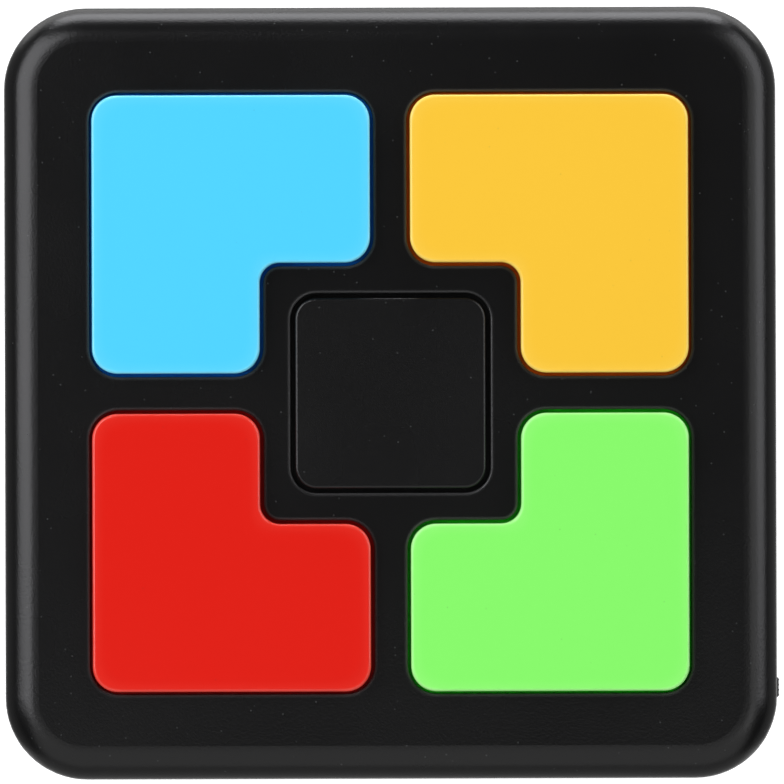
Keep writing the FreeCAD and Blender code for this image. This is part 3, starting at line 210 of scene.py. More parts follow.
def build_dust():
    """Sparse specks on faces that look up."""
    group, given, result = new_group(
        "dust",
        [("Vector", "NodeSocketVector", None), ("Spacing", "NodeSocketFloat", 4 * MM),
         ("Speck", "NodeSocketFloat", 0.12 * MM), ("Share", "NodeSocketFloat", 0.2)],
        [("Mask", "NodeSocketFloat")],
    )
    scale = calculate(group, "DIVIDE", 1.0, given.outputs["Spacing"])
    cells = add_node(group, "ShaderNodeTexVoronoi", {"Vector": given.outputs["Vector"], "Scale": scale})
    size = calculate(group, "MULTIPLY", given.outputs["Speck"], scale)
    near = map_share(group, cells.outputs["Distance"], size, 0.0)
    chance = add_node(group, "ShaderNodeSeparateColor", {"Color": cells.outputs["Color"]}).outputs["Red"]
    chosen = calculate(group, "LESS_THAN", chance, given.outputs["Share"])
    normal = group.nodes.new("ShaderNodeNewGeometry").outputs["Normal"]
    upward = calculate(group, "GREATER_THAN", split(group, normal)["Z"], LOOKS_UP)
    speck = calculate(group, "MULTIPLY", near, chosen)
    group.links.new(calculate(group, "MULTIPLY", speck, upward), result.inputs["Mask"])
    return group


moulded_skin = build_moulded_skin()
rubbed_edges = build_rubbed_edges()
dust = build_dust()


def make_satin_black(name, colour, roughness, grain, wear_and_highlight_colour):
    """Satin black plastic with pits and dust, its rounded edges paler and glossier: partly rubbed, partly a
    painted highlight.
    """
    material, tree, shader, place = new_material(name, IOR=CASE_IOR)
    skin = use_group(tree, moulded_skin, Vector=place, Grain=grain, Roughness=roughness, Drift=CASE_DRIFT)
    wear = use_group(tree, rubbed_edges, Reach=WEAR_REACH).outputs["Wear"]
    specks = use_group(tree, dust, Vector=place, **CASE_DUST).outputs["Mask"]
    # Paler edges: partly wear, partly a painted highlight.
    worn_and_highlighted = mix_colour(tree, wear, colour, wear_and_highlight_colour)
    link_shader(tree, shader, Base_Color=mix_colour(tree, specks, worn_and_highlighted, DUST_COLOUR),
                Roughness=calculate(tree, "MULTIPLY_ADD", wear, WEAR_POLISH, skin.outputs["Roughness"]),
                Normal=bump(tree, skin.outputs["Height"], CASE_PIT_DEPTH))
    return material


def finish_nodes(material, *nodes):
    """Give CAD nodes a material."""
    for node in nodes:
        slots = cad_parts[node].data.materials
        slots.clear()
        slots.append(material)


front_black = make_satin_black("case_front", CASE_COLOUR, CASE_ROUGHNESS, CASE_GRAIN, PALE_BLACK)
rear_black = make_satin_black("case_rear", CASE_COLOUR, REAR_ROUGHNESS, REAR_GRAIN, PALE_BLACK)
finish_nodes(front_black, "front_case")
finish_nodes(rear_black, "rear_case", "battery_door")

# ---------------------------------------------------------------------------
# Colour buttons: four L-shaped caps.
# Glossy polycarbonate, coloured by dye right through and slightly clear, with a painted highlight at the
# rims and painted shade and a faint painted glow below the case's face. Each is trapped behind the shell by
# its flange.
# ---------------------------------------------------------------------------

BUTTON_COLOURS = {
    "blue": (0.084, 0.655, 0.980, 1),
    "yellow": (0.970, 0.575, 0.043, 1),
    "red": (0.755, 0.0140, 0.0075, 1),
    "green": (0.252, 0.970, 0.150, 1),
}
BUTTON_ROUGHNESS = 0.17
BUTTON_DRIFT = 0.05
BUTTON_IOR = 1.5
WAVE_LENGTH = 6 * MM
WAVE_DEPTH = 0.02 * MM
FLANGE_REACH = 1.4 * MM
BUTTON_INNER = 2.45 * MM
BUTTON_NOTCH = 15.95 * MM
BUTTON_CORNER = 3.1 * MM
BUTTON_ELBOW = 2.45 * MM
ROUND_BLEND = 6 * (1 - math.sqrt(0.5))
# A painted highlight along each cap's rim, and a wider, fainter painted sheen inside it.
RIM_REACH = 0.40 * MM
RIM_HIGHLIGHT_SHARE = 0.90
SHEEN_REACH = 1.6 * MM
SHEEN_SHARE = 0.20
BUTTON_DUST = {"Spacing": 2.2 * MM, "Speck": 0.12 * MM, "Share": 0.6}
BUTTON_DUST_SHARE = 0.25
BLACK = (0, 0, 0, 1)
# Powers of the tint: the lower one pales it for the painted highlight, the higher one deepens it for
# painted shade below the case's face, which also has a faint painted glow.
HIGHLIGHT_POWER = 0.64
SHADE_POWER = 3.5
SKIRT_PAINTED_GLOW = {"blue": 0.016, "yellow": 0.036, "red": 0.060, "green": 0.008}
SKIRT_SHADE_FADE = 1.2 * MM


def build_cap_outline():
    """One on the rounded outline of an L-shaped cap, and nothing from Reach inside it."""
    sizes = ("Inner", "Notch", "Outer", "Corner", "Elbow", "Reach")
    group, given, result = new_group(
        "cap_outline",
        [("Vector", "NodeSocketVector", None)] + [(size, "NodeSocketFloat", 10 * MM) for size in sizes],
        [("Rim", "NodeSocketFloat")],
    )
    inner, notch, outer, corner, elbow, reach = (given.outputs[size] for size in sizes)
    corner, elbow = (calculate(group, "MULTIPLY", radius, ROUND_BLEND) for radius in (corner, elbow))
    axes = split(group, given.outputs["Vector"])
    across = calculate(group, "ABSOLUTE", axes["X"])
    along = calculate(group, "ABSOLUTE", axes["Y"])
    inside = calculate(group, "SMOOTH_MAX", calculate(group, "SUBTRACT", across, notch),
                       calculate(group, "SUBTRACT", along, notch), elbow)
    for side in (across, along):
        for gap in (calculate(group, "SUBTRACT", side, inner), calculate(group, "SUBTRACT", outer, side)):
            inside = calculate(group, "SMOOTH_MIN", inside, gap, corner)
    rim = add_node(group, "ShaderNodeMapRange", {"Value": inside, "From Min": reach, "From Max": 0.0},
                   interpolation_type="SMOOTHSTEP")
    group.links.new(rim.outputs["Result"], result.inputs["Rim"])
    return group


cap_outline = build_cap_outline()


def painted_tint(tint, path, share=1.0):
    """The tint raised to a power and scaled by a share: a power under one pales it for a painted highlight,
    one over one deepens it for painted shade and a faint painted glow.
    """
    return tuple(share * channel ** path for channel in tint[:3]) + (1,)


def make_button_plastic(colour, tint, outer, face_height):
    """Glossy plastic, coloured by dye, with a moulded cap's waves, a painted highlight and sheen at its
    rim, and painted shade with a faint painted glow below the case's face.
    """
    material, tree, shader, place = new_material(f"button_{colour}", IOR=BUTTON_IOR, Emission_Strength=1.0)
    shape = {"Vector": place, "Inner": BUTTON_INNER, "Notch": BUTTON_NOTCH, "Outer": outer,
             "Corner": BUTTON_CORNER, "Elbow": BUTTON_ELBOW}
    rim = use_group(tree, cap_outline, Reach=RIM_REACH, **shape).outputs["Rim"]
    glow = use_group(tree, cap_outline, Reach=SHEEN_REACH, **shape).outputs["Rim"]
    painted_shade = map_share(tree, split(tree, place)["Z"], face_height, face_height - SKIRT_SHADE_FADE)
    specks = use_group(tree, dust, Vector=place, **BUTTON_DUST).outputs["Mask"]
    waves = use_group(tree, moulded_skin, Vector=place, Grain=WAVE_LENGTH, Roughness=BUTTON_ROUGHNESS,
                      Drift=BUTTON_DRIFT)
    highlight_colour = painted_tint(tint, HIGHLIGHT_POWER)
    # A painted sheen near the rim, then a stronger painted highlight right on it.
    sheened = mix_colour(tree, calculate(tree, "MULTIPLY", glow, SHEEN_SHARE), tint, highlight_colour)
    highlighted = mix_colour(tree, calculate(tree, "MULTIPLY", rim, RIM_HIGHLIGHT_SHARE), sheened, highlight_colour)
    dusted = mix_colour(tree, calculate(tree, "MULTIPLY", specks, BUTTON_DUST_SHARE), highlighted, DUST_COLOUR)
    # Below the case's face: painted shade in the base colour and a faint painted glow in the emission.
    link_shader(tree, shader, Base_Color=mix_colour(tree, painted_shade, dusted, painted_tint(tint, SHADE_POWER)),
                Emission_Color=mix_colour(tree, painted_shade, BLACK, painted_tint(tint, SHADE_POWER, SKIRT_PAINTED_GLOW[colour])),
                Roughness=waves.outputs["Roughness"],
                Normal=bump(tree, waves.outputs["Height"], WAVE_DEPTH))
    return material


front_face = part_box("front_case")[1][2]
for colour, tint in BUTTON_COLOURS.items():
    low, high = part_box(f"button_{colour}")
    far = max(abs(low[0]), abs(high[0])) - FLANGE_REACH
    finish_nodes(make_button_plastic(colour, tint, far, front_face), f"button_{colour}")

# ---------------------------------------------------------------------------
# Centre button: the square start and level button.
# Same black ABS as the case, with a finer and slightly smoother skin.
# It is trapped behind the front shell in the same way.
# ---------------------------------------------------------------------------

CENTRE_ROUGHNESS = 0.29
CENTRE_GRAIN = 0.14 * MM
# Its edges are only a little paler than its face: partly wear, partly a painted highlight.
CENTRE_WEAR_AND_HIGHLIGHT = (0.0070, 0.0070, 0.0072, 1)

centre_black = make_satin_black("centre_black", CASE_COLOUR, CENTRE_ROUGHNESS, CENTRE_GRAIN, CENTRE_WEAR_AND_HIGHLIGHT)
finish_nodes(centre_black, "centre_button")

# ---------------------------------------------------------------------------
# Key pads: five rubber pads with domes, one under each button.
# Each is moulded in one piece from milky silicone rubber, without the carbon pills of its domes.
# The pads lie on the board.
# ---------------------------------------------------------------------------

RUBBER_COLOUR = (0.46, 0.45, 0.42, 1)
RUBBER_SHADE = (0.34, 0.33, 0.31, 1)
RUBBER_CLOUD_SCALE = 160.0
WELD_REACH = 0.001 * MM
SHARP_EDGE = math.radians(32)
PRESSED_SHARE = {"blue": 0.71, "yellow": 0.71, "red": 0.71, "green": 0.71, "centre": 0.76}


def new_piece(name, mesh):
    """A new object at the origin."""
    piece = bpy.data.objects.new(name, mesh)
    bpy.context.collection.objects.link(piece)
    return piece


def welded_copy(node, name):
    """A copy of a CAD node whose loose triangles are joined."""
    work = bmesh.new()
    work.from_mesh(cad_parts[node].data)
    bmesh.ops.remove_doubles(work, verts=work.verts, dist=WELD_REACH)
    mesh = bpy.data.meshes.new(name)
    work.to_mesh(mesh)
    work.free()
    return new_piece(name, mesh)


def finish_piece(piece, material, slot, body, *nodes):
    """Shade a piece, give it its material, and let it ride on a body in place of its CAD nodes."""
    work = bmesh.new()
    work.from_mesh(piece.data)
    for face in work.faces:
        face.smooth = True
        face.material_index = 0
    for edge in work.edges:
        edge.smooth = len(edge.link_faces) == 2 and edge.calc_face_angle() < SHARP_EDGE
    work.to_mesh(piece.data)
    work.free()
    piece.data.materials.clear()
    piece.data.materials.append(material)
    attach(piece, body)
    if nodes:
        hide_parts(*nodes)


def make_rubber():
    """Milky rubber with a fine bloom."""
    material, tree, shader, place = new_material("pad_rubber", IOR=1.41, Subsurface_Weight=0.15,
                                                 Subsurface_Scale=1.0 * MM)
    skin = use_group(tree, moulded_skin, Vector=place, Grain=0.2 * MM, Roughness=0.55, Drift=0.12)
    cloud = noise(tree, place, RUBBER_CLOUD_SCALE, detail=4.0)
    link_shader(tree, shader, Base_Color=mix_colour(tree, cloud, RUBBER_SHADE, RUBBER_COLOUR),
                Roughness=skin.outputs["Roughness"],
                Normal=bump(tree, skin.outputs["Height"], depth=0.006 * MM))
    return material


rubber = make_rubber()
for colour, share in PRESSED_SHARE.items():
    pad = welded_copy(f"pad_{colour}", f"key_pad_{colour}")
    low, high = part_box(f"pad_{colour}")
    finish_piece(pad, rubber, "pad_rubber", "root", f"pad_{colour}")
    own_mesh(pad)

# ---------------------------------------------------------------------------
# Lights: one bulb under each colour button.
# Water-clear epoxy, cast round a bent metal frame, with faint milky flow marks.
# Each stands on the board in a hole of its key pad, soldered by two legs.
# ---------------------------------------------------------------------------

EPOXY_COLOUR = (0.92, 0.95, 0.96, 1)
EPOXY_MILKY = (0.62, 0.66, 0.68, 1)
FLOW_SCALE = 700.0


def make_epoxy():
    """Clear cast resin with faint flow marks."""
    material, tree, shader, place = new_material("led_lens", IOR=1.52, Transmission_Weight=0.85)
    skin = use_group(tree, moulded_skin, Vector=place, Grain=0.5 * MM, Roughness=0.08, Drift=0.08)
    flow = noise(tree, place, FLOW_SCALE)
    link_shader(tree, shader, Base_Color=mix_colour(tree, flow, EPOXY_MILKY, EPOXY_COLOUR),
                Roughness=skin.outputs["Roughness"],
                Normal=bump(tree, skin.outputs["Height"], depth=0.004 * MM))
    return material


finish_nodes(make_epoxy(), "led_blue", "led_yellow", "led_red", "led_green")

# ---------------------------------------------------------------------------
# Circuit board: one square board that carries every electric part.
# Glass-fibre sheet with copper tracks under green lacquer, its cut edges bare and yellowish.
# Four small screws hold it to bosses of the front shell.
# ---------------------------------------------------------------------------

LACQUER_COLOUR = (0.012, 0.105, 0.040, 1)
TRACK_COLOUR = (0.022, 0.170, 0.068, 1)
FIBRE_COLOUR = (0.300, 0.270, 0.130, 1)
TRACK_SPACING = 3.4 * MM
TRACK_FOOT = 0.11
TRACK_TOP = 0.08
TRACK_RISE = 4.0
CUT_EDGE_TILT = 0.5
CUT_EDGE_ROUGHER = 0.4


def make_board_lacquer():
    """Green lacquer over raised tracks, with bare glass fibre at the cut edges."""
    material, tree, shader, place = new_material("board_green", IOR=1.5)
    cells = add_node(tree, "ShaderNodeTexVoronoi", {"Vector": place, "Scale": 1 / TRACK_SPACING,
                                                    "Randomness": 0.85}, feature="DISTANCE_TO_EDGE")
    track = map_share(tree, cells.outputs["Distance"], TRACK_FOOT, TRACK_TOP)
    skin = use_group(tree, moulded_skin, Vector=place, Grain=0.4 * MM, Roughness=0.3, Drift=0.1)
    facing = tree.nodes.new("ShaderNodeNewGeometry").outputs["Normal"]
    upright = calculate(tree, "ABSOLUTE", split(tree, facing)["Z"])
    cut = calculate(tree, "LESS_THAN", upright, CUT_EDGE_TILT)
    green = mix_colour(tree, track, LACQUER_COLOUR, TRACK_COLOUR)
    height = calculate(tree, "MULTIPLY_ADD", track, TRACK_RISE, skin.outputs["Height"])
    link_shader(tree, shader, Base_Color=mix_colour(tree, cut, green, FIBRE_COLOUR),
                Roughness=calculate(tree, "MULTIPLY_ADD", cut, CUT_EDGE_ROUGHER, skin.outputs["Roughness"]),
                Normal=bump(tree, height, depth=0.008 * MM))
    return material


finish_nodes(make_board_lacquer(), "circuit_board")

# ---------------------------------------------------------------------------
# Parts under the board: the chip under its cap, four resistors and a capacitor.
# The chip is sealed in a black resin cap, the resistors are lacquered with colour rings, and
# the capacitor is an aluminium can in a printed sleeve. All are soldered to the board.
# ---------------------------------------------------------------------------

RESIN_COLOUR = (0.010, 0.010, 0.011, 1)
BODY_COLOUR = (0.480, 0.350, 0.200, 1)
RING_COLOURS = [(0.140, 0.042, 0.012, 1), (0.012, 0.011, 0.010, 1), (0.500, 0.090, 0.010, 1),
                (0.480, 0.340, 0.070, 1)]
RING_PLACES = [0.22, 0.38, 0.54, 0.80]
RING_HALF = 0.045
SLEEVE_COLOUR = (0.014, 0.022, 0.060, 1)
STRIPE_COLOUR = (0.330, 0.350, 0.380, 1)
STRIPE_OFFSET = 1.6 * MM
CAN_END_REACH = 0.02 * MM
ALUMINIUM_COLOUR = (0.620, 0.630, 0.640, 1)


def make_resin():
    """Black sealing resin with a drop's slight waves."""
    material, tree, shader, place = new_material("chip_black", IOR=1.55)
    skin = use_group(tree, moulded_skin, Vector=place, Grain=1.2 * MM, Roughness=0.3, Drift=0.2)
    waves = skin.outputs["Height"]
    link_shader(tree, shader, Base_Color=mix_colour(tree, waves, RESIN_COLOUR, PALE_BLACK),
                Roughness=skin.outputs["Roughness"], Normal=bump(tree, waves, depth=0.03 * MM))
    return material


def make_ringed_lacquer(low, high):
    """Beige lacquer with colour rings, which stand at shares of the length from low to high."""
    material, tree, shader, place = new_material("component_beige", IOR=1.5)
    along = map_share(tree, split(tree, place)["X"], low, high)
    paint = BODY_COLOUR
    for ring_place, ring_colour in zip(RING_PLACES, RING_COLOURS):
        away = calculate(tree, "ABSOLUTE", calculate(tree, "SUBTRACT", along, ring_place))
        paint = mix_colour(tree, calculate(tree, "LESS_THAN", away, RING_HALF), paint, ring_colour)
    skin = use_group(tree, moulded_skin, Vector=place, Grain=0.3 * MM, Roughness=0.35, Drift=0.15)
    link_shader(tree, shader, Base_Color=paint, Roughness=skin.outputs["Roughness"],
                Normal=bump(tree, skin.outputs["Height"], depth=0.01 * MM))
    return material


def make_sleeve(middle, floor):
    """A dark shrunk sleeve with a pale stripe down one side, open on the bare end of the can."""
    material, tree, shader, place = new_material("capacitor_sleeve", IOR=1.5)
    axes = split(tree, place)
    stripe = calculate(tree, "GREATER_THAN", axes["X"], middle + STRIPE_OFFSET)
    printed = mix_colour(tree, stripe, SLEEVE_COLOUR, STRIPE_COLOUR)
    bare = calculate(tree, "LESS_THAN", axes["Z"], floor + CAN_END_REACH)
    skin = use_group(tree, moulded_skin, Vector=place, Grain=0.5 * MM, Roughness=0.32, Drift=0.1)
    link_shader(tree, shader, Base_Color=mix_colour(tree, bare, printed, ALUMINIUM_COLOUR), Metallic=bare,
                Roughness=skin.outputs["Roughness"],
                Normal=bump(tree, skin.outputs["Height"], depth=0.01 * MM))
    return material


finish_nodes(make_resin(), "controller_chip")
row_low, row_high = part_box("resistors")
finish_nodes(make_ringed_lacquer(row_low[0], row_high[0]), "resistors")
can_low, can_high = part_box("capacitor")
finish_nodes(make_sleeve((can_low[0] + can_high[0]) / 2, can_low[2]), "capacitor")

# ---------------------------------------------------------------------------
# Power switch: a knob that slides in a pressed steel housing.
# The knob is black acetal with moulded ridges for a fingertip, and comes out through a slot
# of the case. The housing is tinned steel, soldered under the board.
# ---------------------------------------------------------------------------

KNOB_COLOUR = (0.0060, 0.0060, 0.0062, 1)
KNOB_ROUGHNESS = 0.34
STEEL_COLOUR = (0.520, 0.515, 0.500, 1)
STEEL_SHADE = (0.330, 0.325, 0.315, 1)
STREAK_SCALE = 2500.0
STREAK_DEPTH = 0.003 * MM
METAL_CLOUD_SCALE = 300.0
METAL_DRIFT = 0.16
METAL_WEAR_REACH = 0.2 * MM
KNOB_LENGTH = 2.6 * MM
KNOB_HEIGHT = 1.5 * MM
RIDGE_COUNT = 4
RIDGE_FACETS = 16
RIDGE_RADIUS = 0.16 * MM
RIDGE_SUNK = 0.75 * RIDGE_RADIUS
RIDGE_MARGIN = 0.35 * MM


def make_metal(name, light, dark, roughness, lay):
    """Sheet metal with drawn streaks. Lay stretches the streaks along one axis."""
    material, tree, shader, place = new_material(name, Metallic=1.0)
    drawn = add_node(tree, "ShaderNodeMapping", {"Vector": place, "Scale": lay}).outputs["Vector"]
    streaks = noise(tree, drawn, STREAK_SCALE, detail=3.0)
    cloud = noise(tree, place, METAL_CLOUD_SCALE, detail=3.0)
    wear = use_group(tree, rubbed_edges, Reach=METAL_WEAR_REACH).outputs["Wear"]
    shade = calculate(tree, "MULTIPLY_ADD", streaks, 0.5, calculate(tree, "MULTIPLY", cloud, 0.5))
    bright = calculate(tree, "MAXIMUM", shade, wear)
    smoothest = roughness - METAL_DRIFT / 2
    link_shader(tree, shader, Base_Color=mix_colour(tree, bright, dark, light),
                Roughness=calculate(tree, "MULTIPLY_ADD", cloud, METAL_DRIFT, smoothest),
                Normal=bump(tree, streaks, STREAK_DEPTH))
    return material


def finish_tree(group, given, result, placed):
    """End a tree with real meshes in the given material."""
    real = add_node(group, "GeometryNodeRealizeInstances", {"Geometry": placed.outputs["Instances"]})
    painted = add_node(group, "GeometryNodeSetMaterial", {
        "Geometry": real.outputs["Geometry"], "Material": given.outputs["Material"]})
    group.links.new(painted.outputs["Geometry"], result.inputs["Geometry"])


def build_ridge_row():
    """A row of round ridges that run up, one on each point of a line along Y."""
    group, given, result = new_group(
        "ridge_row",
        [("Geometry", "NodeSocketGeometry", None), ("Count", "NodeSocketInt", 3),
         ("Pitch", "NodeSocketFloat", MM), ("Radius", "NodeSocketFloat", 0.2 * MM),
         ("Height", "NodeSocketFloat", MM), ("Material", "NodeSocketMaterial", None)],
        [("Geometry", "NodeSocketGeometry")], "GeometryNodeTree",
    )
    step = add_node(group, "ShaderNodeCombineXYZ", {"Y": given.outputs["Pitch"]})
    line = add_node(group, "GeometryNodeMeshLine", {
        "Count": given.outputs["Count"], "Offset": step.outputs["Vector"]})
    ridge = add_node(group, "GeometryNodeMeshCylinder", {
        "Vertices": RIDGE_FACETS, "Radius": given.outputs["Radius"], "Depth": given.outputs["Height"]})
    row = add_node(group, "GeometryNodeInstanceOnPoints", {
        "Points": line.outputs["Mesh"], "Instance": ridge.outputs["Mesh"]})
    placed = add_node(group, "GeometryNodeInstanceOnPoints", {
        "Points": given.outputs["Geometry"], "Instance": row.outputs["Instances"]})
    finish_tree(group, given, result, placed)
    return group


def grow(name, tree, points, **inputs):
    """A plain mesh piece that a Geometry Nodes tree makes on the given points."""
    seeds = bpy.data.meshes.new(name)
    seeds.from_pydata(points, [], [])
    piece = new_piece(name, seeds)
    maker = piece.modifiers.new("maker", "NODES")
    maker.node_group = tree
    for socket in tree.interface.items_tree:
        key = socket.name.replace(" ", "_")
        if socket.in_out == "INPUT" and key in inputs:
            maker[socket.identifier] = inputs[key]
    made = piece.evaluated_get(bpy.context.evaluated_depsgraph_get())
    piece.data = bpy.data.meshes.new_from_object(made)
    piece.modifiers.clear()
    return piece


knob_black = make_satin_black("knob_black", KNOB_COLOUR, KNOB_ROUGHNESS, CENTRE_GRAIN, PALE_BLACK)
finish_nodes(knob_black, "power_switch_knob")
tin = make_metal("switch_steel", STEEL_COLOUR, STEEL_SHADE, roughness=0.35, lay=(0.1, 1.0, 1.0))
finish_nodes(tin, "switch_housing")
knob_low, knob_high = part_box("power_switch_knob")
knob_y = (knob_low[1] + knob_high[1]) / 2
knob_z = (knob_low[2] + knob_high[2]) / 2
ridge_run = KNOB_LENGTH - 2 * RIDGE_MARGIN
ridge_start = (knob_high[0] - RIDGE_SUNK, knob_y - ridge_run / 2, knob_z)
ridges = grow("knob_ridges", build_ridge_row(), [ridge_start], Count=RIDGE_COUNT,
              Pitch=ridge_run / (RIDGE_COUNT - 1), Radius=RIDGE_RADIUS, Height=KNOB_HEIGHT - RIDGE_MARGIN,
              Material=knob_black)
finish_piece(ridges, knob_black, "knob_black", "switch_body")

# ---------------------------------------------------------------------------
# Speaker: frame, paper cone and magnet behind the grille.
# The frame is pressed zinc-plated steel, the cone is black felted paper and the magnet is
# sintered ferrite, glued to the frame's back. The speaker sits in a ring of the rear shell.
# ---------------------------------------------------------------------------

PAPER_COLOUR = (0.016, 0.015, 0.014, 1)
PAPER_FIBRE_COLOUR = (0.040, 0.037, 0.034, 1)
FERRITE_COLOUR = (0.045, 0.045, 0.048, 1)
FERRITE_SHADE = (0.022, 0.022, 0.024, 1)
FELT_IOR = 1.45
FELT_CLOUD_SCALE = 200.0
FELT_DRIFT = 0.2


def make_felted(name, light, dark, roughness, fibre, depth):
    """A matt, finely broken surface, such as felted paper or sintered powder."""
    material, tree, shader, place = new_material(name, IOR=FELT_IOR)
    fibres = noise(tree, place, 1 / fibre, detail=5.0, roughness=0.7, distortion=1.5)
    cloud = noise(tree, place, FELT_CLOUD_SCALE)
    smoothest = roughness - FELT_DRIFT / 2
    link_shader(tree, shader, Base_Color=mix_colour(tree, fibres, dark, light),
                Roughness=calculate(tree, "MULTIPLY_ADD", cloud, FELT_DRIFT, smoothest),
                Normal=bump(tree, fibres, depth))
    return material


plated_steel = make_metal("speaker_steel", STEEL_COLOUR, STEEL_SHADE, roughness=0.4, lay=(1.0, 1.0, 0.2))
cone_paper = make_felted("speaker_paper", PAPER_FIBRE_COLOUR, PAPER_COLOUR, roughness=0.8, fibre=0.5 * MM,
                         depth=0.03 * MM)
ferrite = make_felted("magnet_ferrite", FERRITE_COLOUR, FERRITE_SHADE, roughness=0.55, fibre=0.25 * MM,
                      depth=0.012 * MM)
finish_nodes(plated_steel, "speaker_frame")
finish_nodes(cone_paper, "speaker_cone")
finish_nodes(ferrite, "speaker_magnet")

# ---------------------------------------------------------------------------
# Leads: two to the speaker and two to the battery contacts.
# Stranded copper in red and black PVC, cut to length and soldered at both ends.
# ---------------------------------------------------------------------------

LEAD_COLOURS = {"red": (0.480, 0.012, 0.010, 1), "black": (0.012, 0.012, 0.012, 1)}
PVC_CLOUD_SCALE = 400.0
PVC_DULLEST = 0.7


def make_pvc(name, colour):
    """Soft PVC with a faint drawn texture."""
    material, tree, shader, place = new_material(name, IOR=1.52)
    skin = use_group(tree, moulded_skin, Vector=place, Grain=0.3 * MM, Roughness=0.42, Drift=0.15)
    cloud = noise(tree, place, PVC_CLOUD_SCALE)
    dull = tuple(PVC_DULLEST * channel for channel in colour[:3]) + (1,)
    link_shader(tree, shader, Base_Color=mix_colour(tree, cloud, dull, colour),
                Roughness=skin.outputs["Roughness"],
                Normal=bump(tree, skin.outputs["Height"], depth=0.006 * MM))
    return material


for colour, tint in LEAD_COLOURS.items():
    finish_nodes(make_pvc(f"lead_{colour}", tint), f"speaker_lead_{colour}", f"battery_lead_{colour}")

# ---------------------------------------------------------------------------
# Battery contacts: two end plates, two bridges and the bent leaves that press on the cells.
# Spring steel, cut and bent from nickel-plated strip. The plates slide into slots of the bay.
# ---------------------------------------------------------------------------

NICKEL_COLOUR = (0.640, 0.610, 0.560, 1)
NICKEL_SHADE = (0.450, 0.425, 0.380, 1)

nickel = make_metal("contact_steel", NICKEL_COLOUR, NICKEL_SHADE, roughness=0.3, lay=(1.0, 0.12, 1.0))
finish_nodes(nickel, "positive_terminal", "negative_terminal", "bridge_left", "bridge_right",
             "contact_leaves")

# ---------------------------------------------------------------------------
# Cells: three AAA cells, side by side.
# Each is a drawn steel can in a shrunk plastic jacket, which stops short of the bare flat end
# and of the nub. They lie between the contacts and lift out once the door is off.
# ---------------------------------------------------------------------------

JACKET_COLOUR = (0.030, 0.120, 0.075, 1)
BAND_COLOUR = (0.560, 0.555, 0.530, 1)
CAN_COLOUR = (0.600, 0.595, 0.580, 1)
CELL_FACETS = 48
CELL_NUB_ENDS = {1: 1, 2: -1, 3: 1}
CELL_LENGTH = 43.5 * MM
END_DISH = 0.15 * MM
GROOVE_TOP = 2.0 * MM
GROOVE_SLOPE = 0.4 * MM
GROOVE_WIDTH = 0.6 * MM
GROOVE_DEPTH = 0.18 * MM
NUB_RADIUS = 1.9 * MM
JACKET_LIP = 0.12 * MM
BAND_START = 0.74
BAND_END = 0.965
JACKET_START = 0.012
JACKET_END = 0.975


def turned(name, start, axis, profile, facets):
    """A closed solid of revolution. The profile gives steps along the axis and the radius at each.

    Its UV map runs once round and from nothing to one along the axis.
    """
    work = bmesh.new()
    layer = work.loops.layers.uv.new("along")
    across = axis.orthogonal().normalized()
    third = axis.cross(across)
    total = profile[-1][0]
    rings = []
    for step, radius in profile:
        centre = start + axis * step
        angles = [2 * math.pi * i / facets for i in range(facets)] if radius else [0.0]
        rings.append([work.verts.new(centre + (across * math.cos(a) + third * math.sin(a)) * radius)
                      for a in angles])
    for index in range(len(rings) - 1):
        lower, upper = rings[index], rings[index + 1]
        for i in range(facets):
            corners = [(lower, i, index), (lower, i + 1, index),
                       (upper, i + 1, index + 1), (upper, i, index + 1)]
            if len(lower) == 1:
                corners.pop(1)
            if len(upper) == 1:
                corners.pop()
            face = work.faces.new([ring[turn % len(ring)] for ring, turn, _ in corners])
            for loop, (_, turn, level) in zip(face.loops, corners):
                loop[layer].uv = (turn / facets, profile[level][0] / total)
    bmesh.ops.recalc_face_normals(work, faces=work.faces)
    mesh = bpy.data.meshes.new(name)
    work.to_mesh(mesh)
    work.free()
    return new_piece(name, mesh)


def make_jacket():
    """A green shrunk jacket with a grey band, over a steel can that shows at both ends."""
    material, tree, shader, place = new_material("cell_jacket", IOR=1.5)
    shape_map = add_node(tree, "ShaderNodeUVMap", uv_map="along").outputs["UV"]
    along = split(tree, shape_map)["Y"]
    covered, banded = (
        calculate(tree, "MULTIPLY", calculate(tree, "GREATER_THAN", along, start),
                  calculate(tree, "LESS_THAN", along, end))
        for start, end in ((JACKET_START, JACKET_END), (BAND_START, BAND_END)))
    skin = use_group(tree, moulded_skin, Vector=place, Grain=0.9 * MM, Roughness=0.24, Drift=0.12)
    printed = mix_colour(tree, banded, JACKET_COLOUR, BAND_COLOUR)
    bare = calculate(tree, "SUBTRACT", 1.0, covered)
    link_shader(tree, shader, Base_Color=mix_colour(tree, covered, CAN_COLOUR, printed), Metallic=bare,
                Roughness=skin.outputs["Roughness"],
                Normal=bump(tree, skin.outputs["Height"], depth=0.02 * MM))
    return material


